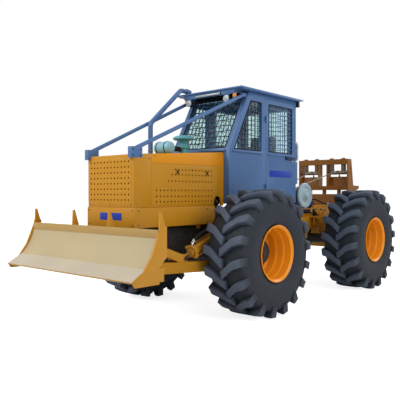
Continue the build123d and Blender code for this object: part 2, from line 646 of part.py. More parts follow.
lift_barrel, lift_rod = cylinder(LIFT_MOUNT, CLEVIS, 690, LIFT_R, LIFT_ROD_R, PIN_R)
lift_turn = degrees(atan2(LIFT_MOUNT[1] - CLEVIS[1], LIFT_MOUNT[0] - CLEVIS[0]))
lift_place = Pos(ARM_X, *LIFT_MOUNT) * Rot(90 + lift_turn, 0, 0)
for kind, shape in (("barrel", lift_barrel), ("rod", lift_rod)):
    placed = lift_place * shape
    save(placed, f"lift_{kind}_left")
    save(mirror(placed, Plane.YZ), f"lift_{kind}_right")

steer_barrel, steer_rod = cylinder(STEER_FRONT, STEER_REAR, STEER_BARREL, STEER_R, STEER_ROD_R, PIN_R)
steer_run = (STEER_REAR[0] - STEER_FRONT[0], STEER_REAR[1] - STEER_FRONT[1], 0)
steer_place = Plane(origin=(*STEER_FRONT, STEER_Z), x_dir=(0, 0, 1), z_dir=steer_run).location
for kind, shape in (("barrel", steer_barrel), ("rod", steer_rod)):
    placed = steer_place * shape
    save(placed, f"steer_{kind}_left")
    save(mirror(placed, Plane.YZ), f"steer_{kind}_right")

# ---------------------------------------------------------------- rear frame
# The rear frame hangs on the centre pin by a bored head. Behind a narrow neck it widens to a decked box that carries
# the winch, the arch and the butt plate, and stands on the rear axle.
head_low = TAIL_BASE + TAIL_T + FACE_GAP
head_high = TAIL_TOP - TAIL_T - FACE_GAP
rear = upright(0, PIVOT_Y, head_low, head_high, HEAD_R)
rear += box(-85, 85, PIVOT_Y + 40, 1980, 740, 1060)
neck_plan = [
    (-85, PIVOT_Y + 60),
    (85, PIVOT_Y + 60),
    (DECK_HALF, 1960),
    (DECK_HALF, 2000),
    (-DECK_HALF, 2000),
    (-DECK_HALF, 1960),
]
for neck_z in (740, 1030):
    rear += floor_plate(neck_plan, neck_z, neck_z + 30)
rear += box(-DECK_HALF, DECK_HALF, 1970, 2000, 740, 1180)
cheek = [
    (1970, 740),
    (1970, 1180),
    (2070, DECK_Z),
    (3640, DECK_Z),
    (3800, 1100),
    (3800, 900),
    (3400, 900),
    (3300, 1010),
    (2440, 1010),
    (2300, 900),
    (2200, 740),
]
rear += pair(side_plate(cheek, DECK_HALF - PLATE, DECK_HALF))
rear += box(-DECK_HALF, DECK_HALF, 2070, 3640, DECK_Z - PLATE, DECK_Z)
rear += box(-TOOL_PAD_HALF, TOOL_PAD_HALF, 2700, 3300, DECK_Z, DECK_Z + 6)
for tube_y, tube_z in ((2250, 860), (3480, 1000)):
    rear += cross_bar(tube_y, tube_z, -DECK_HALF + 5, DECK_HALF - 5, 50)
rear += pair(box(220, DECK_HALF - 5, WHEELBASE - 130, WHEELBASE + 130, AXLE_Z + 60, 1040))
rear -= upright(0, PIVOT_Y, head_low - 1, head_high + 1, PIVOT_PIN_R + RUN_GAP)
rear_ear = [(60, 1500), (282, 1560), (282, 1622), (60, 1650)]
for ear_z in (STEER_Z - EYE_HALF - EYE_GAP - EAR_T, STEER_Z + EYE_HALF + EYE_GAP):
    ear = floor_plate(rear_ear, ear_z, ear_z + EAR_T)
    ear -= upright(0, PIVOT_Y, ear_z - 1, ear_z + EAR_T + 1, HEAD_R - 10)
    rear += pair(ear)
for cap_z in (STEER_Z - 70, STEER_Z + 50):
    rear += pair(upright(*STEER_REAR, cap_z, cap_z + 20, PIN_R))
rear -= REAR_AXLE
save(rear, "rear_frame")

# The winch is a two-bay drum between bearing cheeks, with a round cover over its brake and gears on each side.
winch_side = [
    (2080, DECK_Z),
    (2080, 1400),
    (2120, 1480),
    (2160, 1640),
    (2240, 1690),
    (2360, 1690),
    (2440, 1640),
    (2480, 1480),
    (2520, 1400),
    (2520, DECK_Z),
]
winch = pair(side_plate(winch_side, WINCH_FACE - 70, WINCH_FACE - 40))
winch += box(-WINCH_FACE + 40, WINCH_FACE - 40, 2080, 2520, DECK_Z, DECK_Z + 24)
winch += cross_bar(2110, 1380, -WINCH_FACE + 60, WINCH_FACE - 60, 26)
winch -= cross_bar(WINCH_Y, WINCH_Z, -400, 400, 60 + RUN_GAP)
save(winch, "winch_frame")
cover = cross_bar(WINCH_Y, WINCH_Z, WINCH_FACE - 40, WINCH_FACE, WINCH_R)
cover = chamfer(cover.edges().filter_by(GeomType.CIRCLE).group_by(Axis.X)[-1], 10)
groove = cross_bar(WINCH_Y, WINCH_Z, WINCH_FACE - 8, WINCH_FACE + 1, 150)
groove -= cross_bar(WINCH_Y, WINCH_Z, WINCH_FACE - 8, WINCH_FACE + 1, 92)
cover -= groove
cover += cross_bar(WINCH_Y, WINCH_Z, WINCH_FACE, WINCH_FACE + 24, 58)
save(pair(cover), "winch_covers")
drum = cross_bar(WINCH_Y, WINCH_Z, -WINCH_FACE + 42, WINCH_FACE - 42, 60)
drum += cross_bar(WINCH_Y, WINCH_Z, -280, 280, DRUM_R)
for flange_x in (-283, -9, 265):
    drum += cross_bar(WINCH_Y, WINCH_Z, flange_x, flange_x + 18, 170)
drum += pair(cross_bar(WINCH_Y, WINCH_Z, 30, 245, 140))
save(drum, "winch_drum")

# The arch stands on a box pedestal over the frame's end. Two bays with upright and level rollers lead the ropes
# through it, and raked feet brace its sides.
arch_side = [
    (ARCH_Y, DECK_Z),
    (ARCH_Y, ARCH_TOP),
    (ARCH_Y + 140, ARCH_TOP),
    (ARCH_Y + 220, 1700),
    (3950, 1690),
    (3950, 1650),
    (ARCH_Y + 220, 1560),
    (ARCH_Y + 160, DECK_Z),
]
arch = pair(side_plate(arch_side, ARCH_HALF - PLATE, ARCH_HALF))
arch -= cross_bar(ARCH_Y + 100, 2010, -600, 600, 18)
arch += box(-ARCH_HALF, ARCH_HALF, ARCH_Y, ARCH_Y + 140, ARCH_TOP - 24, ARCH_TOP)
arch += box(-ARCH_HALF, ARCH_HALF, ARCH_Y, ARCH_Y + 24, 2082, ARCH_TOP)
arch += box(-ARCH_HALF, ARCH_HALF, ARCH_Y, ARCH_Y + 190, ARCH_SILL, 1690)
arch += pair(box(78, 98, ARCH_Y, ARCH_Y + 140, 1690, ARCH_TOP))
arch += pair(box(98, ARCH_HALF, ARCH_Y + 120, ARCH_Y + 140, 1690, 1862))
arch += box(-ARCH_HALF, ARCH_HALF, ARCH_Y + 10, ARCH_Y + 130, DECK_Z, 1540)
for tie_x in (-300, 0, 300):
    arch += box(tie_x - 8, tie_x + 8, ARCH_Y + 10, ARCH_Y + 130, 1540, ARCH_SILL)
ROLLER_Y = ARCH_Y + 70
UPRIGHT_ROLLERS = (155.0, 390.0)
UPRIGHT_LOW = 1972.0
LEVEL_Z = 1930.0
LEVEL_PIN_R = 12.0
level_spans = (98.0, ARCH_HALF - PLATE)
for roller_x in UPRIGHT_ROLLERS:
    arch += pair(upright(roller_x, ROLLER_Y, ARCH_TOP, ARCH_TOP + 14, 40))
    arch -= pair(upright(roller_x, ROLLER_Y, ARCH_TOP - 30, ARCH_TOP - 5, 16 + RUN_GAP))
arch += pair(box(98, ARCH_HALF - PLATE, ROLLER_Y + 25, ROLLER_Y + 50, 1964, 1971.7))
arch -= cross_bar(ROLLER_Y, LEVEL_Z, -600, 600, LEVEL_PIN_R + RUN_GAP)
save(arch, "fairlead_arch")
for name, side in (("left", 1), ("right", -1)):
    level = cross_bar(ROLLER_Y, LEVEL_Z, side * (level_spans[0] + 3), side * (level_spans[1] - 3), ROLLER_R)
    level += cross_bar(ROLLER_Y, LEVEL_Z, side * (level_spans[0] - 12), side * (level_spans[1] + 12), LEVEL_PIN_R)
    save(level, f"level_roller_{name}")
    for place, roller_x in zip(("inner", "outer"), UPRIGHT_ROLLERS):
        roller = upright(side * roller_x, ROLLER_Y, UPRIGHT_LOW, ARCH_TOP - 30, 45)
        roller += upright(side * roller_x, ROLLER_Y, ARCH_TOP - 30, ARCH_TOP - 6, 16)
        save(roller, f"upright_roller_{place}_{name}")

# The butt plate is a wide rolled plate behind the wheels that the log butts rest against.
butt_out = [(3800, 1120), (3800, 640), (3860, 520), (3884, 520), (3884, 560), (3824, 660), (3824, 1100), (3860, 1160)]
butt_out += [(3840, 1170)]
butt = side_plate(butt_out, -BUTT_HALF, BUTT_HALF)
for rib_x in (300, 700, 1100):
    butt += pair(side_plate([(3800, 1100), (3740, 1000), (3740, 760), (3800, 660)], rib_x - 8, rib_x + 8))
butt += box(-BUTT_HALF, BUTT_HALF, 3770, 3800, 860, 900)
save(butt, "butt_plate")
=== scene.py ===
import json
import math
import random

import bpy
from mathutils import Matrix, Vector

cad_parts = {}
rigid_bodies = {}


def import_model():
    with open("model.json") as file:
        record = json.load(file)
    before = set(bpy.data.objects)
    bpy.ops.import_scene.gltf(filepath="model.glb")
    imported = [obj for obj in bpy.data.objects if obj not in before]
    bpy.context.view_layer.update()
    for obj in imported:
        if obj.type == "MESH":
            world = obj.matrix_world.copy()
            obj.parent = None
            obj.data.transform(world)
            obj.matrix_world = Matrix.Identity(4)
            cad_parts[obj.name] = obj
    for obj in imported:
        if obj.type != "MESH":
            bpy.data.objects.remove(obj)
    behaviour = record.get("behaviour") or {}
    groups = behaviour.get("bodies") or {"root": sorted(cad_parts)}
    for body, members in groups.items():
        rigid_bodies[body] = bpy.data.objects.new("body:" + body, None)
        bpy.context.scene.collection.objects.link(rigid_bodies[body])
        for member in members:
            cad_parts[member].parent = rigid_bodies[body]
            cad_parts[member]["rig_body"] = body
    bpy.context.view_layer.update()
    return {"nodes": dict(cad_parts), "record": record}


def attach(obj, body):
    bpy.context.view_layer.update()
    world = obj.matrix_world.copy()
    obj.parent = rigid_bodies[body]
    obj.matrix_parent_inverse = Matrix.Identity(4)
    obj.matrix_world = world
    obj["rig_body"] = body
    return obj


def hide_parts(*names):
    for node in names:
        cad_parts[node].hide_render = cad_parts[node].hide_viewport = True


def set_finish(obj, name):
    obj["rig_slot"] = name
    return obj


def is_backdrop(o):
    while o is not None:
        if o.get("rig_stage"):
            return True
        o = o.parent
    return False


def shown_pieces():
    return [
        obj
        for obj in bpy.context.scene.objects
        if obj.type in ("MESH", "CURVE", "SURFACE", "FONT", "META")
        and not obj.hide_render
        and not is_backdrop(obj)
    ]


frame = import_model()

random.seed(7)

# ---- Studio ----------------------------------------------------------------------------------------------
# A wide pale floor under a white sky, a large soft key light ahead of the machine and weaker ones at its
# left side and behind it. The camera stands off the left front corner at chest height.


def tidy_selection():
    """Leaves edit mode with nothing selected."""
    if bpy.context.object and bpy.context.object.mode != "OBJECT":
        bpy.ops.object.mode_set(mode="OBJECT")
    bpy.ops.object.select_all(action="DESELECT")


def add_node(tree, kind, feeds=None, values=None, **properties):
    """A new shader node with its properties, its inputs' plain values and the outputs that feed them."""
    node = tree.nodes.new(kind)
    for key, value in properties.items():
        setattr(node, key, value)
    for key, value in (values or {}).items():
        node.inputs[key].default_value = value
    for key, output in (feeds or {}).items():
        tree.links.new(output, node.inputs[key])
    return node


def straight_to_lens(tree):
    """1 on rays that the camera sends out, also through glass, and 0 on all others."""
    path = add_node(tree, "ShaderNodeLightPath").outputs
    feeds = {0: path["Is Camera Ray"], 1: path["Is Transmission Ray"]}
    return add_node(tree, "ShaderNodeMath", feeds, operation="MAXIMUM").outputs[0]


tidy_selection()
bpy.ops.mesh.primitive_plane_add(size=160, location=(0, 0, 0))
floor = bpy.context.object
floor.name = "studio_floor"
floor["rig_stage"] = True
floor_paint = bpy.data.materials.new("studio_floor_paint")
floor_paint.use_nodes = True
tree = floor_paint.node_tree
tree.nodes.clear()
matt = add_node(tree, "ShaderNodeBsdfDiffuse", values={"Color": (0.8, 0.8, 0.8, 1)}).outputs[0]
glow = add_node(tree, "ShaderNodeEmission", values={"Strength": 0.8}).outputs[0]
bright = add_node(tree, "ShaderNodeAddShader", {0: matt, 1: glow}).outputs[0]
pick = add_node(tree, "ShaderNodeMixShader", {0: straight_to_lens(tree), 1: matt, 2: bright})
add_node(tree, "ShaderNodeOutputMaterial", {"Surface": pick.outputs[0]})
floor.data.materials.append(floor_paint)

world = bpy.data.worlds.new("studio_sky")
bpy.context.scene.world = world
world.use_nodes = True
tree = world.node_tree
tree.nodes.clear()
dim_sky = {"Color": (0.93, 0.96, 1.0, 1), "Strength": 0.62}
white_sky = {"Color": (1, 1, 1, 1), "Strength": 1.0}
dim, white = (add_node(tree, "ShaderNodeBackground", values=sky).outputs[0] for sky in (dim_sky, white_sky))
pick = add_node(tree, "ShaderNodeMixShader", {0: straight_to_lens(tree), 1: dim, 2: white})
add_node(tree, "ShaderNodeOutputWorld", {"Surface": pick.outputs[0]})

LAMPS = (
    # name, place, aim, size, watts
    ("key_light", (-4.0, -9.5, 8.0), (0, -1.0, 1.2), 7.0, 800),
    ("side_light", (9.5, -2.0, 7.0), (0, 0, 1.2), 7.0, 420),
    ("rim_light", (3.0, 9.0, 7.0), (0, 1.0, 1.5), 5.0, 300),
)
for lamp_name, place, aim, size, watts in LAMPS:
    lamp = bpy.data.lights.new(lamp_name, "AREA")
    lamp.shape = "SQUARE"
    lamp.size = size
    lamp.energy = watts
    stand = bpy.data.objects.new(lamp_name, lamp)
    bpy.context.scene.collection.objects.link(stand)
    stand.location = place
    stand.rotation_euler = (Vector(aim) - Vector(place)).to_track_quat("-Z", "Y").to_euler()

# Places on the machine count y back from the front axle, which stands here in the frame.
SHIFT_Y = -0.859
lens = bpy.data.cameras.new("main_camera")
lens.lens = 49.68
lens.sensor_width = 36.0
camera = bpy.data.objects.new("main_camera", lens)
bpy.context.scene.collection.objects.link(camera)
camera.location = (5.148, -5.744 + SHIFT_Y, 1.546)
camera.rotation_euler = (math.radians(90 - 0.65), 0, math.radians(41.627))
bpy.context.scene.camera = camera
bpy.context.scene.view_settings.view_transform = "Standard"

# ---- Tyres -----------------------------------------------------------------------------------------------
# Four forestry tyres of black rubber, moulded with bent chevron lugs. The casing is one turned ring with
# bead and shoulder ribs, and the lugs are vulcanised onto it in two rows, half a pitch apart.
WHEEL_R = 0.8035
TRACK_HALF = 1.06
WHEELBASE = 2.83
WHEELS = (
    # name, side, distance of the axle behind the front one
    ("front_left", 1, 0.0),
    ("front_right", -1, 0.0),
    ("rear_left", 1, WHEELBASE),
    ("rear_right", -1, WHEELBASE),
)
LUGS_A_ROW = 18


def start_piece(name, profile):
    """A new mesh whose points follow a profile of (x, z) places, left in edit mode and all selected."""
    tidy_selection()
    bpy.ops.mesh.primitive_plane_add(size=0.01, location=(0, 0, 0))
    piece = bpy.context.object
    piece.name = name
    piece.data.name = name
    bpy.ops.object.mode_set(mode="EDIT")
    bpy.ops.mesh.select_mode(type="VERT")
    bpy.ops.mesh.select_all(action="SELECT")
    bpy.ops.mesh.merge(type="CENTER")
    bpy.ops.transform.translate(value=(profile[0][0], 0, profile[0][1]))
    for here, there in zip(profile, profile[1:]):
        step = (there[0] - here[0], 0, there[1] - here[1])
        bpy.ops.mesh.extrude_region_move(TRANSFORM_OT_translate={"value": step})
    bpy.ops.mesh.select_all(action="SELECT")
    return piece


def turn_profile(name, profile, steps, closed=True, angle=30):
    """A turned piece about the X axis: the profile of (x, radius) places is spun all the way round."""
    piece = start_piece(name, list(profile) + [profile[0]] if closed else profile)
    bpy.ops.mesh.spin(steps=steps, angle=math.tau, center=(0, 0, 0), axis=(1, 0, 0))
    bpy.ops.mesh.select_all(action="SELECT")
    bpy.ops.mesh.remove_doubles(threshold=0.0002)
    bpy.ops.mesh.normals_make_consistent(inside=False)
    bpy.ops.object.mode_set(mode="OBJECT")
    bpy.ops.object.shade_smooth_by_angle(angle=math.radians(angle))
    return piece


def copy_mesh(piece, name, placing):
    """A copy of a piece with its own mesh, with its place put into the mesh."""
    twin = piece.copy()
    twin.data = piece.data.copy()
    twin.name = name
    twin.data.name = name
    twin.data.transform(placing)
    if placing.determinant() < 0:
        twin.data.flip_normals()
    bpy.context.scene.collection.objects.link(twin)
    return twin


def join_pieces(pieces, name):
    """Joins pieces into one mesh."""
    tidy_selection()
    for piece in pieces:
        piece.select_set(True)
    bpy.context.view_layer.objects.active = pieces[0]
    if len(pieces) > 1:
        bpy.ops.object.join()
    whole = bpy.context.object
    whole.name = name
    whole.data.name = name
    return whole


def round_edges(piece, width, segments=2, angle=35):
    """Rounds a piece's sharp edges with an applied bevel and shades it smooth between them."""
    tidy_selection()
    piece.select_set(True)
    bpy.context.view_layer.objects.active = piece
    bevel = piece.modifiers.new("edge_round", "BEVEL")
    bevel.width = width
    bevel.segments = segments
    bevel.limit_method = "ANGLE"
    bevel.angle_limit = math.radians(angle)
    bpy.ops.object.modifier_apply(modifier=bevel.name)
    bpy.ops.object.shade_smooth_by_angle(angle=math.radians(angle))
    return piece


def whole_profile(half, middle=()):
    """A whole profile of (x, radius) places from its +X half, which runs inwards to the middle."""
    return [(-x, radius) for x, radius in half] + [*middle] + [*reversed(half)]


CASING_HALF = (
    # across, radius: from the bead's foot over the sidewall's ribs to the crown
    (0.236, 0.334), (0.262, 0.372), (0.272, 0.392), (0.276, 0.40), (0.283, 0.44), (0.2895, 0.50),
    (0.2905, 0.55), (0.287, 0.60), (0.280, 0.632), (0.283, 0.640), (0.276, 0.665), (0.268, 0.690),
    (0.255, 0.706), (0.235, 0.716), (0.18, 0.726), (0.09, 0.733),
)
CROWN_R = 0.735
TURN_STEPS = 96
casing = turn_profile("tyre_casing", whole_profile(CASING_HALF, [(0.0, CROWN_R)]), TURN_STEPS)

# One lug is a bar pushed out from the middle of the tread in stages, its foot wider than its top.
LUG_STAGES = (
    # top across, foot across, trailing edge, leading edge, top radius, foot radius
    (-0.014, -0.020, -0.136, -0.036, 0.8015, 0.728),
    (0.068, 0.068, -0.070, 0.031, 0.8015, 0.725),
    (0.150, 0.150, -0.004, 0.098, 0.8010, 0.718),
    (0.215, 0.215, 0.020, 0.122, 0.7995, 0.706),
    (0.264, 0.268, 0.036, 0.138, 0.7950, 0.688),
    (0.281, 0.2905, 0.042, 0.144, 0.7830, 0.650),
)
LUG_FOOT = 0.010
LUG_ROUND = 0.006
# Corners further out than this belong to the lug's top.
LUG_TOP_FROM = 0.75


def set_lug_corner(corner, stage, high, leading):
    """Puts a lug's corner on its stage, wrapped round the wheel."""
    top_x, foot_x, trailing_edge, leading_edge, top_r, foot_r = stage
    along = leading_edge if leading else trailing_edge
    if not high:
        along += LUG_FOOT if leading else -LUG_FOOT
    radius = top_r if high else foot_r
    turn = along / WHEEL_R
    corner.co = (top_x if high else foot_x, radius * math.sin(turn), radius * math.cos(turn))


tidy_selection()
bpy.ops.mesh.primitive_cube_add(size=1, location=(0, 0, 0))
lug = bpy.context.object
lug.name = "tread_lug"
bpy.ops.object.mode_set(mode="EDIT")
bpy.ops.mesh.select_mode(type="FACE")
bpy.ops.mesh.select_all(action="DESELECT")
bpy.ops.object.mode_set(mode="OBJECT")
for face in lug.data.polygons:
    face.select = face.normal.x > 0.9
for corner in lug.data.vertices:
    set_lug_corner(corner, LUG_STAGES[1 if corner.co.x > 0 else 0], corner.co.z > 0, corner.co.y > 0)
for before, after in zip(LUG_STAGES[1:], LUG_STAGES[2:]):
    bpy.ops.object.mode_set(mode="EDIT")
    bpy.ops.mesh.extrude_region_move(TRANSFORM_OT_translate={"value": (after[0] - before[0], 0, 0)})
    bpy.ops.object.mode_set(mode="OBJECT")
    middle = (before[2] + before[3]) / 2
    for face in lug.data.polygons:
        if face.select:
            for index in face.vertices:
                corner = lug.data.vertices[index]
                radius = math.hypot(corner.co.y, corner.co.z)
                along = math.atan2(corner.co.y, corner.co.z) * WHEEL_R
                set_lug_corner(corner, after, radius > LUG_TOP_FROM, along > middle)
bpy.ops.object.mode_set(mode="EDIT")
bpy.ops.mesh.select_all(action="SELECT")
bpy.ops.mesh.normals_make_consistent(inside=False)
bpy.ops.object.mode_set(mode="OBJECT")
round_edges(lug, LUG_ROUND, 2, 25)
lug_ring = [casing]
for row_side, first_turn in ((1, 0.0), (-1, math.pi / LUGS_A_ROW)):
    for step in range(LUGS_A_ROW):
        turn = Matrix.Rotation(first_turn + math.tau * step / LUGS_A_ROW, 4, "X")
        lug_ring.append(copy_mesh(lug, "tread_lug_copy", turn @ Matrix.Diagonal((row_side, 1, 1, 1))))
bpy.data.objects.remove(lug)
tyre = join_pieces(lug_ring, "tyre_pattern")
bpy.ops.object.shade_smooth_by_angle(angle=math.radians(32))

# The lugs are paler towards their tops and darker at their roots: partly rubbed wear, partly painted
# highlight on the lug tops and painted shade in the gaps between them.
WEAR_AND_LIGHT_FROM = 0.74
WEAR_AND_LIGHT_DEPTH = 0.055
wear_and_light_mark = tyre.data.attributes.new("tread_wear", "FLOAT", "POINT")
for index, corner in enumerate(tyre.data.vertices):
    height = (math.hypot(corner.co.y, corner.co.z) - WEAR_AND_LIGHT_FROM) / WEAR_AND_LIGHT_DEPTH
    wear_and_light_mark.data[index].value = min(1.0, max(0.0, height))


def at_wheel(side, back):
    """The place of a wheel's pattern at its hub, mirrored on the right-hand side."""
    middle = Matrix.Translation((side * TRACK_HALF, back + SHIFT_Y, WHEEL_R))
    return middle @ Matrix.Diagonal((side, 1, 1, 1))


for name, side, back in WHEELS:
    piece = copy_mesh(tyre, "tyre_rubber_" + name, at_wheel(side, back))
    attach(piece, "wheel_" + name)
    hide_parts("tyre_" + name)
    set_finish(piece, "tyre")
bpy.data.objects.remove(tyre)

# ---- Rims and hubs ---------------------------------------------------------------------------------------
# Rims are pressed and rolled from steel sheet and painted orange. The barrel has a rolled flange, a gutter
# step and a well, and the disc is set far inboard. A dark cast hub with its planetary cover is bolted to
# the disc.
RIM_SHELL = (
    (-0.279, 0.356), (-0.281, 0.350), (-0.2795, 0.3435), (-0.255, 0.320), (-0.09, 0.318), (-0.078, 0.300),
    (-0.078, 0.15), (-0.060, 0.15), (-0.060, 0.276), (-0.052, 0.286), (0.036, 0.288), (0.046, 0.290),
    (0.064, 0.302), (0.074, 0.306), (0.146, 0.306), (0.156, 0.309), (0.166, 0.318), (0.172, 0.320),
    (0.250, 0.320), (0.258, 0.322), (0.276, 0.3415), (0.280, 0.345), (0.2815, 0.350), (0.279, 0.3555),
    (0.272, 0.3565), (0.265, 0.354), (0.243, 0.334), (0.236, 0.332), (-0.236, 0.332), (-0.243, 0.334),
    (-0.265, 0.354), (-0.272, 0.3565),
)
HUB_SHELL = (
    (-0.137, 0.0), (-0.137, 0.149), (-0.058, 0.1497), (-0.046, 0.1497), (-0.046, 0.149), (0.036, 0.146),
    (0.052, 0.138), (0.060, 0.126), (0.060, 0.066), (0.064, 0.062), (0.080, 0.060), (0.0848, 0.055),
    (0.0848, 0.0),
)
HUB_FLANGE = (
    (-0.0598, 0.1498), (-0.0598, 0.2348), (-0.054, 0.2348), (-0.048, 0.231), (-0.0462, 0.226),
    (-0.0462, 0.1498),
)


def bolt_ring(name, count, circle, head, height, face_x, start=0.0):
    """A ring of hexagon bolt heads that look along +X from a face, as one mesh."""
    tidy_selection()
    bpy.ops.mesh.primitive_cylinder_add(vertices=6, radius=head, depth=height, location=(0, 0, 0))
    one = bpy.context.object
    spot = Matrix.Translation((face_x + height / 2, 0, circle))
    one.data.transform(spot @ Matrix.Rotation(math.radians(90), 4, "Y"))
    round_edges(one, head * 0.14, 1, 40)
    turns = [start + math.tau * n / count for n in range(count)]
    heads = [copy_mesh(one, name, Matrix.Rotation(turn, 4, "X")) for turn in turns]
    bpy.data.objects.remove(one)
    return join_pieces(heads, name)


HUB_BOLTS = (
    # name, count, circle's radius, head's radius, head's height, face
    ("wheel_nuts", 10, 0.205, 0.018, 0.018, -0.0462),
    ("hub_bolts", 8, 0.118, 0.0095, 0.010, 0.0535),
    ("cap_bolts", 3, 0.040, 0.007, 0.007, 0.0846),
)
VALVE_PLACE = (0.190, 0, 0.302)
VALVE_LEAN = 62
rim = turn_profile("rim_shell", RIM_SHELL, TURN_STEPS)
flange = turn_profile("hub_flange", HUB_FLANGE, 64)
hub = turn_profile("hub_shell", HUB_SHELL, 64, closed=False)
hub = join_pieces([hub, flange] + [bolt_ring(*row) for row in HUB_BOLTS], "hub_pattern")
rim_bolts = bolt_ring("rim_bolts", 12, 0.262, 0.009, 0.008, -0.0602, start=0.1)
rim = join_pieces([rim, rim_bolts], "rim_pattern")
tidy_selection()
bpy.ops.mesh.primitive_cylinder_add(vertices=14, radius=0.008, depth=0.052, location=(0, 0, 0))
valve = bpy.context.object
valve.data.transform(Matrix.Translation(VALVE_PLACE) @ Matrix.Rotation(math.radians(VALVE_LEAN), 4, "Y"))
round_edges(valve, 0.002, 2, 40)
WHEEL_STEEL = (
    # pattern, name, finish
    (rim, "rim_steel_", "rim_paint"),
    (hub, "hub_case_", "black_paint"),
    (valve, "valve_stem_", "black_paint"),
)
for name, side, back in WHEELS:
    for pattern, label, slot_name in WHEEL_STEEL:
        piece = copy_mesh(pattern, label + name, at_wheel(side, back))
        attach(piece, "wheel_" + name)
        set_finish(piece, slot_name)
        if pattern is rim:
            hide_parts("rim_" + name)
for pattern in (rim, hub, valve):
    bpy.data.objects.remove(pattern)

# ---- Axles, frames and engine ----------------------------------------------------------------------------
# Cast axles and the welded front frame are painted black, the decked rear frame and its butt plate yellow.
# Their plate edges are ground round, and the engine stands between the rails as a plain cast block.


def dress(node, name, width, slot_name, segments=2, angle=32):
    """A copy of a solid, seams merged, flat faces joined and edges rounded, that takes the solid's place."""
    solid = frame["nodes"][node]
    piece = bpy.data.objects.new(name, solid.data.copy())
    piece.data.name = name
    piece.data.materials.clear()
    bpy.context.scene.collection.objects.link(piece)
    tidy_selection()
    piece.select_set(True)
    bpy.context.view_layer.objects.active = piece
    bpy.ops.object.mode_set(mode="EDIT")
    bpy.ops.mesh.select_all(action="SELECT")
    bpy.ops.mesh.remove_doubles(threshold=0.00005)
    bpy.ops.mesh.dissolve_limited(angle_limit=math.radians(1))
    bpy.ops.mesh.normals_make_consistent(inside=False)
    bpy.ops.object.mode_set(mode="OBJECT")
    if width:
        round_edges(piece, width, segments, angle)
    else:
        bpy.ops.object.shade_smooth_by_angle(angle=math.radians(angle))
    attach(piece, solid["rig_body"])
    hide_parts(node)
    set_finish(piece, slot_name)
    return piece


FRAME_NODES = (
    # node, piece, edge rounding, finish
    ("front_frame", "front_frame_plates", 0.003, "black_paint"),
    ("rear_frame", "rear_frame_plates", 0.003, "yellow_paint"),
    ("front_axle", "front_axle_casting", 0.006, "black_paint"),
    ("rear_axle", "rear_axle_casting", 0.006, "black_paint"),
    ("engine", "engine_block", 0.008, "engine_iron"),
    ("butt_plate", "butt_plate_steel", 0.004, "yellow_paint"),
    ("steps", "cab_steps", 0.002, "black_paint"),
)
for row in FRAME_NODES:
    dress(*row)


def place_piece(name, body, slot_name):
    """The active new piece gets its name, its body and its finish."""
    piece = bpy.context.object
    piece.name = name
    piece.data.name = name
    if body:
        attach(piece, body)
        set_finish(piece, slot_name)
    return piece


def join_as(pieces, name, body, slot_name):
    """Joins pieces into one, with its name, its body and its finish."""
    join_pieces(pieces, name)
    return place_piece(name, body, slot_name)


def machine(x, y, z):
    """A place on the machine, y counted back from the front axle, as a place in the frame."""
    return Vector((x, y + SHIFT_Y, z))


def turn_towards(aim):
    """The turn that lays a piece's Z axis along aim."""
    return Vector(aim).to_track_quat("Z", "Y").to_matrix().to_4x4()


def block(name, body, slot_name, x_span, y_span, z_span, width=0.002):
    """A block between machine places, its edges rounded."""
    tidy_selection()
    bpy.ops.mesh.primitive_cube_add(size=1, location=(0, 0, 0))
    piece = bpy.context.object
    low, high = machine(x_span[0], y_span[0], z_span[0]), machine(x_span[1], y_span[1], z_span[1])
    piece.data.transform(Matrix.Translation((low + high) / 2) @ Matrix.Diagonal((*(high - low), 1)))
    if width:
        round_edges(piece, width, 2, 40)
    return place_piece(name, body, slot_name)


def rod(name, body, slot_name, start, end, radius, sides=24, width=0.0015):
    """A round bar between two machine places."""
    tidy_selection()
    low, high = machine(*start), machine(*end)
    run = high - low
    bpy.ops.mesh.primitive_cylinder_add(vertices=sides, radius=radius, depth=run.length, location=(0, 0, 0))
    piece = bpy.context.object
    piece.data.transform(Matrix.Translation((low + high) / 2) @ turn_towards(run))
    if width:
        round_edges(piece, width, 2, 40)
    else:
        bpy.ops.object.shade_smooth_by_angle(angle=math.radians(40))
    return place_piece(name, body, slot_name)


def cut_plate(name, body, slot_name, outline, x_span, width=0.002):
    """A plate with a (y, z) outline, cut out and pushed along X between two places."""
    tidy_selection()
    bpy.ops.mesh.primitive_plane_add(size=0.01, location=(0, 0, 0))
    piece = bpy.context.object
    bpy.ops.object.mode_set(mode="EDIT")
    bpy.ops.mesh.select_mode(type="VERT")
    bpy.ops.mesh.select_all(action="SELECT")
    bpy.ops.mesh.merge(type="CENTER")
    bpy.ops.transform.translate(value=machine(x_span[0], *outline[0]))
    for here, there in zip(outline, outline[1:]):
        step = (0, there[0] - here[0], there[1] - here[1])
        bpy.ops.mesh.extrude_region_move(TRANSFORM_OT_translate={"value": step})
    bpy.ops.mesh.select_all(action="SELECT")
    bpy.ops.mesh.edge_face_add()
    bpy.ops.mesh.extrude_region_move(TRANSFORM_OT_translate={"value": (x_span[1] - x_span[0], 0, 0)})
    bpy.ops.mesh.select_all(action="SELECT")
    bpy.ops.mesh.normals_make_consistent(inside=False)
    bpy.ops.object.mode_set(mode="OBJECT")
    if width:
        round_edges(piece, width, 2, 40)
    return place_piece(name, body, slot_name)


def both_sides(piece):
    """A mirrored twin of a left-hand piece for the right side, on the body's own twin if it has one."""
    twin = copy_mesh(piece, piece.name.replace("_left", "_right"), Matrix.Diagonal((-1, 1, 1, 1)))
    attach(twin, piece["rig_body"].replace("_left", "_right"))
    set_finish(twin, piece["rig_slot"])
    return twin


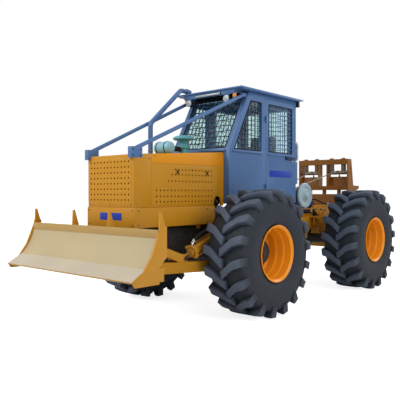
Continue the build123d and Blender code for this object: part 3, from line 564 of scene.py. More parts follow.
def bolt_field(name, body, slot_name, places, aim, head=0.009, height=0.006, sides=6):
    """Bolt heads at machine places, all looking along aim, as one mesh."""
    tidy_selection()
    bpy.ops.mesh.primitive_cylinder_add(vertices=sides, radius=head, depth=height, location=(0, 0, 0))
    one = bpy.context.object
    round_edges(one, head * 0.16, 1, 40)
    heads = []
    for place in places:
        spot = machine(*place) + Vector(aim).normalized() * height / 2
        spin = Matrix.Rotation(random.uniform(0, math.tau), 4, "Z")
        heads.append(copy_mesh(one, name, Matrix.Translation(spot) @ turn_towards(aim) @ spin))
    bpy.data.objects.remove(one)
    return join_as(heads, name, body, slot_name)


def hose(name, body, slot_name, points, radius, steps=10, sides=12):
    """A bent hose or tube through machine places, its bends rounded, as a mesh."""
    tidy_selection()
    bpy.ops.curve.primitive_bezier_curve_add(location=(0, 0, 0))
    line = bpy.context.object
    spline = line.data.splines[0]
    spline.bezier_points.add(len(points) - 2)
    for point, place in zip(spline.bezier_points, points):
        point.co = machine(*place)
        point.handle_left_type = "AUTO"
        point.handle_right_type = "AUTO"
    line.data.dimensions = "3D"
    line.data.resolution_u = steps
    line.data.bevel_depth = radius
    line.data.bevel_resolution = sides // 4
    line.data.use_fill_caps = True
    bpy.ops.object.convert(target="MESH")
    bpy.ops.object.mode_set(mode="EDIT")
    bpy.ops.mesh.select_all(action="SELECT")
    bpy.ops.mesh.remove_doubles(threshold=0.0002)
    bpy.ops.mesh.normals_make_consistent(inside=False)
    bpy.ops.object.mode_set(mode="OBJECT")
    bpy.ops.object.shade_smooth_by_angle(angle=math.radians(45))
    return place_piece(name, body, slot_name)


RAIL_BOLT_YS = (-1.40, -1.30, -0.62, -0.54, 0.34, 0.42, 0.72, 0.80)
rail_bolts = [(0.33, y, z) for y in RAIL_BOLT_YS for z in (1.03, 1.10)]
both_sides(bolt_field("rail_bolts_left", "front", "black_paint", rail_bolts, (1, 0, 0), 0.014, 0.011))
deck_bolts = [(0.4, y, z) for y in (2.12, 2.22, 3.3, 3.4, 3.5) for z in (1.18, 1.25)]
both_sides(bolt_field("deck_bolts_left", "rear", "black_paint", deck_bolts, (1, 0, 0), 0.013, 0.010))

# ---- Hood and skirt --------------------------------------------------------------------------------------
# The hood is folded from yellow sheet steel, with a bolted grille plate in front. Thin sheets with rows of
# cooling holes cover wider holes in it, and its side doors have quarter-turn catches. The skirt is bolted
# to the rails.
hood = dress("hood", "hood_panels", 0.006, "yellow_paint", 3)
HOLE_R = 0.0112
BACK_HOLE_R = 0.017
PIERCE_DEPTH = 0.05


def pierce(piece, places, aim, radius):
    """Round holes through a piece, cut by one array of pins that look along aim."""
    tidy_selection()
    bpy.ops.mesh.primitive_cylinder_add(vertices=14, radius=radius, depth=PIERCE_DEPTH, location=(0, 0, 0))
    pin = bpy.context.object
    turn = turn_towards(aim)
    pins = [copy_mesh(pin, "pins", Matrix.Translation(machine(*place)) @ turn) for place in places]
    bpy.data.objects.remove(pin)
    pins = join_pieces(pins, "pins")
    tidy_selection()
    piece.select_set(True)
    bpy.context.view_layer.objects.active = piece
    cut = piece.modifiers.new("pierced", "BOOLEAN")
    cut.operation = "DIFFERENCE"
    cut.solver = "EXACT"
    cut.object = pins
    bpy.ops.object.modifier_apply(modifier=cut.name)
    bpy.ops.object.shade_smooth_by_angle(angle=math.radians(32))
    bpy.data.objects.remove(pins)


NOSE_SPAN = (-1.5625, -1.5595)
SHEET_SPAN = (0.4295, 0.4318)
TRIM_SPAN = (0.4295, 0.4330)
grille_columns = [-0.351 + 0.0625 * column for column in range(12)]
grille_rows = [1.919 - 0.0637 * row for row in range(8)]
grille_holes = [(x, -1.56, z) for x in grille_columns for z in grille_rows]
front_sheet = block(
    "front_sheet", "front", "yellow_paint", (-0.3895, 0.3895), NOSE_SPAN, (1.4025, 1.9615), 0.0008
)
pierce(front_sheet, grille_holes, (0, 1, 0), HOLE_R)
pierce(hood, grille_holes, (0, 1, 0), BACK_HOLE_R)
SIDE_ROWS = (
    # height, first hole, number of holes
    (1.842, -0.889, 12),
    (1.780, -0.948, 13),
    (1.700, -1.006, 14),
    (1.587, -1.207, 17),
    (1.514, -1.207, 17),
    (1.450, -1.207, 17),
)
LAST_HOLE = -0.212
side_holes = []
for z, first, count in SIDE_ROWS:
    side_holes += [(0.43, first + (LAST_HOLE - first) * n / (count - 1), z) for n in range(count)]
side_sheet = block(
    "side_sheet_left", "front", "yellow_paint", SHEET_SPAN, (-1.2895, -0.1685), (1.4025, 1.9045), 0.0008
)
pierce(side_sheet, side_holes, (1, 0, 0), HOLE_R)
both_sides(side_sheet)
for side in (1, -1):
    pierce(hood, [(side * x, y, z) for x, y, z in side_holes], (1, 0, 0), BACK_HOLE_R)

block("radiator_core", "front", "rubber", (-0.375, 0.375), (-1.500, -1.470), (1.415, 1.950), 0.002)
# Black sheets inside the hood behind its holes are painted shade of the dark space under the hood.
SHADE_SHEETS = (
    # name, x, y and z spans
    ("side_lining_left", (0.398, 0.404), (-1.270, -0.185), (1.415, 1.890)),
    ("heat_shield_left", (0.352, 0.357), (-0.330, 0.030), (1.130, 1.560)),
)
for name, *spans in SHADE_SHEETS:
    both_sides(block(name, "front", "rubber", *spans, 0.001))
grille_bolts = [(x, -1.5612, z) for x in (-0.372, 0.0, 0.372) for z in (1.416, 1.946)]
grille_bolts += [(x, -1.5612, 1.68) for x in (-0.372, 0.372)]
bolt_field("grille_bolts", "front", "bare_steel", grille_bolts, (0, -1, 0), 0.008, 0.005)
# Top rail and rear post take a lighter, more orange yellow: painted highlight on the hood's flanges.
RAIL_TOP = ((-1.289, 1.913), (0.003, 1.913), (0.003, 2.098), (-1.289, 2.013))
both_sides(cut_plate("hood_rail_left", "front", "strip_yellow", RAIL_TOP, TRIM_SPAN, 0.0012))
POST_SPANS = (TRIM_SPAN, (0.005, 0.039), (1.386, 2.090))
both_sides(block("hood_post_left", "front", "strip_yellow", *POST_SPANS, 0.0012))
NOSE_CORNER = ((-1.544, 1.388), (-1.544, 1.996), (-1.294, 2.012), (-1.294, 1.388))
both_sides(cut_plate("hood_nose_left", "front", "yellow_paint", NOSE_CORNER, SHEET_SPAN, 0.001))
CATCH_Z = 1.812
for index, latch_y in enumerate((-0.85, -0.30)):
    cross = []
    for lean in (-1, 1):
        ends = [(0.436, latch_y + way * 0.026, CATCH_Z + way * lean * 0.028) for way in (-1, 1)]
        cross.append(rod("catch_bar", None, None, *ends, 0.005, 8, 0.001))
    boss_ends = [(x, latch_y, CATCH_Z) for x in (0.431, 0.442)]
    cross.append(rod("catch_boss", None, None, *boss_ends, 0.012, 16, 0.0015))
    both_sides(join_as(cross, f"hood_catch_{index}_left", "front", "black_paint"))
hood_bolts = [(0.433, y, 1.985 + 0.066 * (y + 1.29)) for y in (-1.24, -0.05)]
hood_bolts += [(0.4318, y, z) for y in (-1.53, -1.32) for z in (1.43, 1.96)] + [(0.433, 0.022, 1.45)]
both_sides(bolt_field("hood_bolts_left", "front", "bare_steel", hood_bolts, (1, 0, 0), 0.0075, 0.005))
PROP = ((0.40, -0.10, 1.475), (0.412, -0.035, 1.405))
both_sides(rod("hood_prop_left", "front", "bare_steel", *PROP, 0.008, 16))

dress("skirt", "skirt_sheet", 0.004, "yellow_paint")
skirt_bolts = [(0.438, y, z) for y in (-1.50, -0.30) for z in (1.18, 1.35)]
both_sides(bolt_field("skirt_bolts_left", "front", "bare_steel", skirt_bolts, (1, 0, 0), 0.010, 0.007))
nose_bolts = [(x, -1.56, z) for x in (-0.40, 0.40) for z in (1.18, 1.35)]
bolt_field("nose_bolts", "front", "bare_steel", nose_bolts, (0, -1, 0), 0.010, 0.007)
block("nose_plate_blank", "front", "plate_blue", (-0.184, 0.214), NOSE_SPAN, (1.235, 1.321), 0.001)

# ---- Air cleaner, exhaust and limb risers ----------------------------------------------------------------
# The pre-cleaner is a spun cap on a ribbed neck and feeds a lying filter can with two clamp bands. The
# exhaust is a bent tube with a rain collar. The limb risers are bent tubes welded to shoes on the hood.
PRECLEANER = (
    # minus the height, radius: up the neck's ribs and round the cap
    (-2.076, 0.0), (-2.076, 0.062), (-2.150, 0.062), (-2.156, 0.070), (-2.162, 0.081), (-2.192, 0.082),
    (-2.198, 0.070), (-2.205, 0.062), (-2.216, 0.060), (-2.220, 0.064), (-2.226, 0.060), (-2.232, 0.064),
    (-2.238, 0.060), (-2.244, 0.064), (-2.250, 0.060), (-2.262, 0.061), (-2.266, 0.090), (-2.272, 0.126),
    (-2.281, 0.139), (-2.290, 0.143), (-2.299, 0.142), (-2.307, 0.137), (-2.318, 0.118), (-2.328, 0.092),
    (-2.334, 0.055), (-2.336, 0.0),
)
cap = turn_profile("precleaner_cap", PRECLEANER, 48, closed=False)
cap.data.transform(Matrix.Translation(machine(0, -0.29, 0)) @ Matrix.Rotation(math.radians(90), 4, "Y"))
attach(cap, "front")
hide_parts("air_cleaner")
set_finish(cap, "teal_paint")
FILTER_CAN = (
    (-0.1495, 0.0), (-0.1490, 0.022), (-0.145, 0.044), (-0.136, 0.062), (-0.122, 0.074), (-0.104, 0.0795),
    (-0.072, 0.0800), (-0.070, 0.0845), (-0.052, 0.0845), (-0.050, 0.0800), (0.060, 0.0800), (0.062, 0.0845),
    (0.080, 0.0845), (0.082, 0.0800), (0.104, 0.0795), (0.122, 0.074), (0.136, 0.062), (0.145, 0.044),
    (0.1490, 0.022), (0.1495, 0.0),
)
CAN_Y = -0.656
CAN_Z = 2.145
can = turn_profile("filter_can", FILTER_CAN, 48, closed=False)
can.data.transform(Matrix.Translation(machine(0, CAN_Y, CAN_Z)))
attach(can, "front")
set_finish(can, "can_teal")
for label, band_x in (("left", 0.063), ("right", -0.079)):
    ends = [(x, CAN_Y, CAN_Z) for x in (band_x, band_x + 0.016)]
    rod("can_band_" + label, "front", "rubber", *ends, 0.0862, 48, 0.001)
DUCT = ((0, -0.60, CAN_Z), (0, -0.46, 2.148), (0, -0.34, CAN_Z))
hose("filter_duct", "front", "black_paint", DUCT, 0.034, 12, 20)
for label, clamp_y in (("front", -0.565), ("rear", -0.372)):
    ends = [(0, y, 2.147) for y in (clamp_y, clamp_y + 0.014)]
    rod("duct_clamp_" + label, "front", "bare_steel", *ends, 0.038, 24, 0.001)
FOOT_SPANS = ((0.042, 0.098), (-0.688, -0.622), (2.053, 2.098))
both_sides(block("filter_foot_left", "front", "black_paint", *FOOT_SPANS, 0.003))

dress("exhaust", "exhaust_tube", 0, "cab_paint", angle=40)
for name, x, y, z in (("exhaust_clamp", -0.38, -0.543, 2.12), ("exhaust_clamp_top", -0.4995, 0.215, 3.072)):
    rod(name, "front", "bare_steel", (x, y, z), (x, y, z + 0.018), 0.037, 28, 0.0015)
dress("limb_risers", "limb_riser_tubes", 0.003, "cab_paint")
riser_bolts = [(0.4325, y, z) for y in (-1.58, -1.46) for z in (1.985, 2.055)]
both_sides(bolt_field("riser_bolts_left", "front", "black_paint", riser_bolts, (1, 0, 0), 0.009, 0.006))

# ---- Cab shell and doors ---------------------------------------------------------------------------------
# The cab and its doors are welded from blue-grey painted plate. Windows sit in black rubber seals behind
# welded branch guards of square bar.
SLOPE_FOOT = (0.04, 2.147)
SLOPE_HEAD = (0.485, 2.979)
SLOPE_RUN = math.hypot(SLOPE_HEAD[0] - SLOPE_FOOT[0], SLOPE_HEAD[1] - SLOPE_FOOT[1])
SLOPE_Y = (SLOPE_HEAD[0] - SLOPE_FOOT[0]) / SLOPE_RUN
SLOPE_Z = (SLOPE_HEAD[1] - SLOPE_FOOT[1]) / SLOPE_RUN

SEAL_R = 0.007


def on_slope(along, out):
    """The (y, z) place on the cab's sloping front, measured up along it and outward from its face."""
    return (SLOPE_FOOT[0] + SLOPE_Y * along - SLOPE_Z * out, SLOPE_FOOT[1] + SLOPE_Z * along + SLOPE_Y * out)


def seal_ring(name, body, corners):
    """A rubber seal that runs round a window's corners."""
    ends = zip(corners, [*corners[1:], corners[0]])
    strands = [rod("strand", None, None, here, there, SEAL_R, 8, 0) for here, there in ends]
    return join_as(strands, name, body, "rubber")


dress("cab_shell", "cab_walls", 0.006, "cab_paint")
dress("window_guards", "window_guard_bars", 0, "guard_steel")
SIDE_X = 0.531
SILL = 2.162
LINTEL = 2.85
QUARTER = ((0.150, SILL), (0.528, LINTEL), (0.774, LINTEL), (0.774, SILL))
SCREEN_HALF = 0.446
SCREEN_LOW = 0.032
SCREEN_HIGH = SLOPE_RUN - 0.092
SCREEN = (
    # across, up along the slope
    (-SCREEN_HALF, SCREEN_LOW),
    (-SCREEN_HALF, SCREEN_HIGH),
    (SCREEN_HALF, SCREEN_HIGH),
    (SCREEN_HALF, SCREEN_LOW),
)
REAR_WINDOW = ((-0.4, SILL), (-0.4, LINTEL), (0.4, LINTEL), (0.4, SILL))
DOOR_WINDOW = ((0.97, SILL), (0.97, LINTEL), (1.59, LINTEL), (1.59, SILL))
both_sides(seal_ring("quarter_seal_left", "front", [(SIDE_X, y, z) for y, z in QUARTER]))
seal_ring("windscreen_seal", "front", [(x, *on_slope(along, 0.001)) for x, along in SCREEN])
seal_ring("rear_window_seal", "front", [(x, 1.709, z) for x, z in REAR_WINDOW])
for side_name in ("left", "right"):
    dress("door_" + side_name, "door_panel_" + side_name, 0.0015, "cab_paint", 1)
both_sides(seal_ring("door_window_seal_left", "door_left", [(SIDE_X, y, z) for y, z in DOOR_WINDOW]))
DOOR_FITTINGS = (
    # name, finish, x, y and z spans
    ("door_handle_grip_left", "black_paint", (0.5735, 0.5765), (1.43, 1.63), (2.076, 2.094)),
    ("door_handle_plate_left", "lamp_black", (0.5295, 0.5335), (1.400, 1.625), (2.058, 2.112)),
    ("door_plate_blank_left", "plate_blue", (0.5295, 0.5325), (0.989, 1.587), (1.794, 1.891)),
)
for name, slot_name, *spans in DOOR_FITTINGS:
    both_sides(block(name, "door_left", slot_name, *spans, 0.001))
LOCK = ((0.529, 1.61, 2.045), (0.534, 1.61, 2.045))
both_sides(rod("door_lock_left", "door_left", "rod_chrome", *LOCK, 0.012, 20))

SCREW_R = 0.005
SCREW_HEIGHT = 0.0035
SCREW = (SCREW_R, SCREW_HEIGHT, 10)
door_screws = [(0.53, y, 1.50 + 0.117 * n) for y in (0.915, 1.635) for n in range(13)]
door_screws += [(0.53, 0.97 + 0.124 * n, z) for z in (1.476, 2.90) for n in range(6)]
both_sides(bolt_field("door_screws_left", "door_left", "cab_paint", door_screws, (1, 0, 0), *SCREW))
pillar_screws = [(0.53, 0.835, 1.46 + 0.104 * n) for n in range(15)]
pillar_screws += [(0.53, 0.075 + 0.145 * n, 1.44) for n in range(6)]
pillar_screws += [(0.53, 0.07, 1.55 + 0.115 * n) for n in range(6)]
both_sides(bolt_field("cab_screws_left", "front", "cab_paint", pillar_screws, (1, 0, 0), *SCREW))
wall_screws = [(x, 1.708, 1.46 + 0.118 * n) for x in (-0.505, 0.505) for n in range(13)]
bolt_field("rear_wall_screws", "front", "cab_paint", wall_screws, (0, 1, 0), *SCREW)
# Black discs on the slope are painted shade in its rows of vent holes.
vent_hole_shades = [(x, *on_slope(0.06 + 0.0245 * n, 0.0006)) for x in (0.470, 0.487, 0.504) for n in range(33)]
slope_aim = (0, -SLOPE_Z, SLOPE_Y)
both_sides(bolt_field("slope_vents_left", "front", "rubber", vent_hole_shades, slope_aim, 0.0048, 0.0006, 10))
GRAB = ((1.70, 2.04), (1.765, 2.07), (1.775, 2.20), (1.765, 2.33), (1.70, 2.36))
grab_run = [(0.522, *place) for place in GRAB]
both_sides(hose("rear_grab_left", "front", "grab_white", grab_run, 0.012, 10, 16))
for side_name, sign in (("left", 1), ("right", -1)):
    duct_screws = [(sign * x, 1.804, z) for x in (0.395, 0.485) for z in (1.73, 1.93, 2.12, 2.30)]
    bolt_field("duct_screws_" + side_name, "front", "cab_paint", duct_screws, (0, 1, 0), *SCREW)

# ---- Roof and lamps --------------------------------------------------------------------------------------
# The roof is a pressed plate with turned-down lips. Round work lamps, amber lamps and a white light bar
# hang behind its front lip, and each rear corner has a small lamp.
# A thin black plate across the top of the sloping front is partly dark trim and partly painted shade under
# the roof's overhang.
HEADER_SHADE_CORNERS = ((0.086, 0.0), (0.086, 0.003), (0.004, 0.003), (0.004, 0.0))
HEADER_SHADE = [on_slope(SLOPE_RUN - below, out) for below, out in HEADER_SHADE_CORNERS]
cut_plate("header_panel", "front", "lamp_black", HEADER_SHADE, (-0.470, 0.470), 0.0005)
dress("cab_roof", "roof_plate", 0.004, "cab_paint")
WORK_LAMP = (0.35, 2.862)
WORK_LAMP_PARTS = (
    # name, finish, y at its back, y at its front, radius, sides
    ("work_lamp_case_", "lamp_black", 0.252, 0.1985, 0.0475, 32),
    ("work_lamp_ring_", "cover_grey", 0.200, 0.189, 0.0485, 36),
    ("work_lamp_lens_", "lamp_white", 0.192, 0.187, 0.041, 32),
)
TAIL_LAMP_PARTS = (
    # name, finish, x span, y span, z span, edge rounding
    ("tail_lamp_case_", "lamp_black", (0.498, 0.562), (1.712, 1.770), (2.898, 2.983), 0.006),
    ("tail_lamp_lens_", "lamp_red", (0.505, 0.555), (1.768, 1.7735), (2.908, 2.975), 0.002),
)
for side_name, sign in (("left", 1), ("right", -1)):
    for name, slot_name, back, front, radius, sides in WORK_LAMP_PARTS:
        ends = [(sign * WORK_LAMP[0], y, WORK_LAMP[1]) for y in (back, front)]
        rod(name + side_name, "front", slot_name, *ends, radius, sides, 0.003)
    ends = [(sign * 0.448, 0.262, z) for z in (2.876, 2.944)]
    rod("amber_lamp_" + side_name, "front", "lamp_amber", *ends, 0.0272, 28, 0.006)
    for name, slot_name, x_span, *spans, width in TAIL_LAMP_PARTS:
        block(name + side_name, "front", slot_name, sorted(sign * x for x in x_span), *spans, width)
block("light_bar_case", "front", "lamp_black", (-0.235, 0.235), (0.206, 0.230), (2.929, 2.965), 0.004)
block("light_bar_lens", "front", "lamp_white", (-0.228, 0.228), (0.2025, 0.208), (2.934, 2.960), 0.003)
GUTTER = ((0.5965, 0.30, 2.995), (0.5965, 0.95, 2.997), (0.5965, 1.72, 3.000))
both_sides(hose("roof_gutter_left", "front", "cab_paint", GUTTER, 0.003, 4, 8))

# ---- Cab interior ----------------------------------------------------------------------------------------
# The driver sits on a sprung seat of woven cloth over foam, behind a moulded dashboard and beside a lever
# box.
dress("operator_console", "dash_and_levers", 0.003, "console_plastic")


def cushion(name, x_span, y_span, z_span, lean=0.0):
    """A soft rounded cushion: a subdivided block whose middle is puffed up."""
    tidy_selection()
    bpy.ops.mesh.primitive_cube_add(size=1, location=(0, 0, 0))
    piece = bpy.context.object
    low, high = machine(x_span[0], y_span[0], z_span[0]), machine(x_span[1], y_span[1], z_span[1])
    size = high - low
    piece.data.transform(Matrix.Diagonal((*size, 1)))
    round_edges(piece, min(size) * 0.32, 4, 30)
    bpy.ops.object.mode_set(mode="EDIT")
    bpy.ops.mesh.select_all(action="SELECT")
    bpy.ops.mesh.subdivide(number_cuts=3, smoothness=0.0)
    bpy.ops.object.mode_set(mode="OBJECT")
    soft = piece.modifiers.new("soft", "SMOOTH")
    soft.factor = 0.5
    soft.iterations = 6
    bpy.ops.object.modifier_apply(modifier=soft.name)
    piece.data.transform(Matrix.Translation((low + high) / 2) @ Matrix.Rotation(lean, 4, "X"))
    bpy.ops.object.shade_smooth_by_angle(angle=math.radians(50))
    return place_piece(name, "front", "seat_fabric")


seat_pad = cushion("seat_cushion", (-0.238, 0.238), (1.052, 1.488), (1.8135, 1.9185))
seat_back = cushion("seat_backrest", (-0.228, 0.228), (1.488, 1.592), (1.925, 2.450), -0.168)
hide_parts("seat")

# ---- Blade and push arms ---------------------------------------------------------------------------------
# The moldboard is a rolled plate with worn pale paint, a top strip whose darker tan is painted shade, and a
# bare wear strip low down.
# Its end plates, prongs, ribs, push arms and struts are welded plate in machine yellow.
dress("blade_face", "blade_moldboard", 0.003, "blade_paint")
dress("blade_frame", "blade_frame_plates", 0.004, "yellow_paint")
FACE_SPAN = (-1.146, 1.146)
# The top band's darker tan is painted shade on a strip that faces a little downwards.
TOP_BAND = ((-1.8622, 1.1795), (-1.8780, 1.1795), (-1.8800, 1.0960), (-1.8765, 1.0960))
cut_plate("blade_top_band", "blade", "band_tan", TOP_BAND, FACE_SPAN, 0.001)
WEAR_PLATE = ((-2.2315, 0.6912), (-2.0460, 0.8010), (-2.0495, 0.7950), (-2.1260, 0.7475), (-2.2255, 0.6842))
cut_plate("blade_wear_plate", "blade", "worn_pale", WEAR_PLATE, FACE_SPAN, 0)
arm_bolts = [(0.71, y, z) for y, z in ((-0.36, 0.665), (-0.30, 0.665), (-0.30, 0.605), (-0.36, 0.605))]
both_sides(bolt_field("arm_cap_bolts_left", "blade", "black_paint", arm_bolts, (1, 0, 0), 0.010, 0.008))
CLEVIS = (-1.015, 0.788)
CLEVIS_PARTS = (
    # name, finish, inner and outer x, radius, sides
    ("clevis_pin_inner_left", "bare_steel", 0.588, 0.620, 0.019, 24),
    ("clevis_pin_outer_left", "bare_steel", 0.700, 0.731, 0.019, 24),
    ("clevis_keeper_left", "black_paint", 0.722, 0.732, 0.030, 8),
)
for name, slot_name, inner, outer, radius, sides in CLEVIS_PARTS:
    both_sides(rod(name, "blade", slot_name, (inner, *CLEVIS), (outer, *CLEVIS), radius, sides, 0.002))

# ---- Hydraulic cylinders ---------------------------------------------------------------------------------
# Lift and steering cylinders are painted steel tubes with chromed rods. The lift cylinders have square end
# heads held by tie rods, with two chromed fittings and two black rubber hoses each.
CYLINDER_PARTS = (
    # node, piece, edge rounding, finish
    ("lift_barrel_", "lift_tube_", 0.002, "yellow_paint"),
    ("lift_rod_", "lift_piston_rod_", 0.0015, "rod_chrome"),
    ("steer_barrel_", "steer_tube_", 0.002, "yellow_paint"),
    ("steer_rod_", "steer_piston_rod_", 0.0015, "rod_chrome"),
)
for side_name in ("left", "right"):
    for node, name, width, slot_name in CYLINDER_PARTS:
        dress(node + side_name, name + side_name, width, slot_name)
LIFT_FOOT = Vector((0.66, -0.200, 1.060))
LIFT_RUN = (Vector((0.66, *CLEVIS)) - LIFT_FOOT).normalized()
LIFT_UP = Vector((0, LIFT_RUN.z, -LIFT_RUN.y)).normalized()


def on_lift(along, up, across=0.0):
    """A machine place beside the left lift cylinder: along it from its foot pin, up off it and across."""
    return tuple(LIFT_FOOT + LIFT_RUN * along + LIFT_UP * up + Vector((across, 0, 0)))


def lift_head(start, end, half=0.074):
    """A square end head of the left lift cylinder, centred on its axis."""
    tidy_selection()
    bpy.ops.mesh.primitive_cube_add(size=1, location=(0, 0, 0))
    head = bpy.context.object
    low, high = machine(*on_lift(start, 0)), machine(*on_lift(end, 0))
    head.data.transform(Matrix.Diagonal((2 * half, 2 * half, (high - low).length, 1)))
    turn = Matrix.Rotation(math.atan2(high.y - low.y, high.z - low.z), 4, "X").inverted()
    head.data.transform(Matrix.Translation((low + high) / 2) @ turn)
    round_edges(head, 0.008, 3, 40)
    return head


def lift_rod(start, end, radius, sides, width):
    """A round or hexagon part between two places beside the left lift cylinder."""
    return rod("lift_part", None, None, on_lift(*start), on_lift(*end), radius, sides, width)


TIE = 0.058
gland = [lift_head(0.648, 0.690), lift_head(0.058, 0.096)]
gland.append(lift_rod((0.688, 0), (0.708, 0), 0.052, 32, 0.004))
for across in (-TIE, TIE):
    for up in (-TIE, TIE):
        gland.append(lift_rod((0.070, up, across), (0.706, up, across), 0.0095, 12, 0.0015))
        gland.append(lift_rod((0.689, up, across), (0.703, up, across), 0.0155, 6, 0.0015))
both_sides(join_as(gland, "lift_gland_left", "lift_barrel_left", "yellow_paint"))
FITTING_PARTS = (
    # start along and up, end along and up, radius, sides, edge rounding
    (0.000, 0.072, -0.004, 0.088, 0.0170, 6, 0.001),
    (-0.002, 0.086, -0.040, 0.108, 0.0125, 16, 0.002),
    (-0.034, 0.104, -0.062, 0.118, 0.0160, 6, 0.001),
)
LIFT_HOSES = (
    # name, fitting's place along the cylinder, its place across
    ("front", 0.668, 0.016),
    ("rear", 0.632, -0.022),
)
for label, along, across in LIFT_HOSES:
    fitting = []
    for back, up, end_back, end_up, radius, sides, width in FITTING_PARTS:
        start, end = (along + back, up, across), (along + end_back, end_up, across)
        fitting.append(lift_rod(start, end, radius, sides, width))
    both_sides(join_as(fitting, f"lift_fitting_{label}_left", "lift_barrel_left", "rod_chrome"))
for label, along, across in LIFT_HOSES:
    start = along - 0.058
    route = ((start, 0.117), (start - 0.10, 0.146), (start - 0.26, 0.140), (0.16, 0.112), (0.02, 0.098))
    places = [on_lift(*place, across) for place in route]
    both_sides(hose(f"lift_hose_{label}_left", "lift_barrel_left", "rubber", places, 0.0125))

# ---- Winch and ropes -------------------------------------------------------------------------------------
# The winch is a two-bay drum in dark blue cast cheeks, under silver-grey round covers. Each bay holds laid
# wire rope, and two taut ropes run from it over the arch's rollers.
dress("winch_frame", "winch_cheeks", 0.004, "winch_blue")
dress("winch_covers", "winch_side_covers", 0.002, "cover_grey")
WINCH = (2.300, 1.515)
COVER_BOLTS = (
    # number, circle's radius, face
    (12, 0.188, 0.360),
    (6, 0.075, 0.361),
)
cover_bolts = []
for count, circle, face_x in COVER_BOLTS:
    for step in range(count):
        angle = math.tau * (step + 0.25) / count
        spot = (WINCH[0] + circle * math.cos(angle), WINCH[1] + circle * math.sin(angle))
        cover_bolts.append((face_x, *spot))
both_sides(bolt_field("cover_bolts_left", "rear", "cover_grey", cover_bolts, (1, 0, 0), 0.009, 0.006))
hub_rings = [
    rod("hub_ring", None, None, (0.383, *WINCH), (0.390, *WINCH), 0.046, 32, 0.002),
    rod("hub_ring", None, None, (0.388, *WINCH), (0.396, *WINCH), 0.020, 6, 0.002),
]
both_sides(join_as(hub_rings, "cover_hub_left", "rear", "cover_grey"))

DRUM_HALF = (
    # across, radius: from the journal over the end flange to the middle flange
    (0.318, 0.0), (0.318, 0.060), (0.283, 0.060), (0.283, 0.168), (0.281, 0.170), (0.267, 0.170),
    (0.265, 0.168), (0.265, 0.110), (0.009, 0.110), (0.009, 0.168), (0.007, 0.170),
)
drum = turn_profile("winch_drum_spool", whole_profile(DRUM_HALF), 64, closed=False)
drum.data.transform(Matrix.Translation(machine(0, *WINCH)))
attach(drum, "winch_drum")
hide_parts("winch_drum")
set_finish(drum, "bare_steel")
LAY = 0.0125
FIRST_WRAP = 0.0235
WRAPS = 18
COIL = {"major_segments": 48, "minor_segments": 6, "major_radius": 0.1325, "minor_radius": 0.0068}
rope_rings = []
for bay in (-1, 1):
    for wrap in range(WRAPS):
        tidy_selection()
        bpy.ops.mesh.primitive_torus_add(**COIL, location=(0, 0, 0))
        ring = bpy.context.object
        middle = machine(bay * (FIRST_WRAP + LAY * (wrap + 0.5)), *WINCH)
        ring.data.transform(Matrix.Translation(middle) @ Matrix.Rotation(math.radians(90), 4, "Y"))
        rope_rings.append(ring)
join_as(rope_rings, "drum_rope", "winch_drum", "wire_rope")
bpy.ops.object.shade_smooth_by_angle(angle=math.radians(60))
rod("drum_rope_core", "winch_drum", "wire_rope", (-0.262, *WINCH), (0.262, *WINCH), 0.130, 48, 0)

# Each rope runs straight from its bay over the level roller, hangs down behind it and ends in a ferrule.
ROPE_R = 0.009
OVER_ROLLER = (3.562, 1.9695)
TAIL = ((3.550, 1.9655), (3.595, 1.966), (3.625, 1.93), (3.645, 1.875))
FERRULE = ((3.643, 1.885), (3.650, 1.835))
for side_name, sign in (("left", 1), ("right", -1)):
    rope_x = sign * 0.270
    lead = ((sign * 0.14, 2.345, 1.646), (rope_x, *OVER_ROLLER))
    rod("lead_rope_" + side_name, "rear", "wire_rope", *lead, ROPE_R, 12, 0)
    tail = [(rope_x, *place) for place in TAIL]
    hose("tail_rope_" + side_name, "rear", "wire_rope", tail, ROPE_R, 8, 12)
    ferrule = [(rope_x, *place) for place in FERRULE]
    rod("rope_ferrule_" + side_name, "rear", "bare_steel", *ferrule, 0.016, 16, 0.003)

# ---- Fairlead arch ---------------------------------------------------------------------------------------
# The arch is welded plate on a box pedestal. Ropes run between upright and level steel rollers, and bolted
# caps hold the upright ones.
dress("fairlead_arch", "arch_plates", 0.004, "arch_paint")
for side_name in ("left", "right"):
    dress("level_roller_" + side_name, "level_roller_steel_" + side_name, 0.003, "bare_steel")
    for place in ("inner", "outer"):
        roller = f"{place}_{side_name}"
        dress("upright_roller_" + roller, "upright_roller_steel_" + roller, 0.003, "bare_steel")
ROLLER_Y = 3.570
CAP_CIRCLE = 0.052
ROLLERS = (
    # name, x
    ("right_390", -0.390),
    ("right_155", -0.155),
    ("left_155", 0.155),
    ("left_390", 0.390),
)
cap_spots = []
for name, roller_x in ROLLERS:
    ends = [(roller_x, ROLLER_Y, z) for z in (2.190, 2.203)]
    rod("roller_cap_" + name, "rear", "arch_paint", *ends, 0.030, 24, 0.002)
    for step in range(4):
        angle = math.tau * (step + 0.5) / 4
        across, along = CAP_CIRCLE * math.cos(angle), CAP_CIRCLE * math.sin(angle)
        cap_spots.append((roller_x + across, ROLLER_Y + along, 2.180))
bolt_field("roller_cap_bolts", "rear", "arch_paint", cap_spots, (0, 0, 1), 0.008, 0.007)
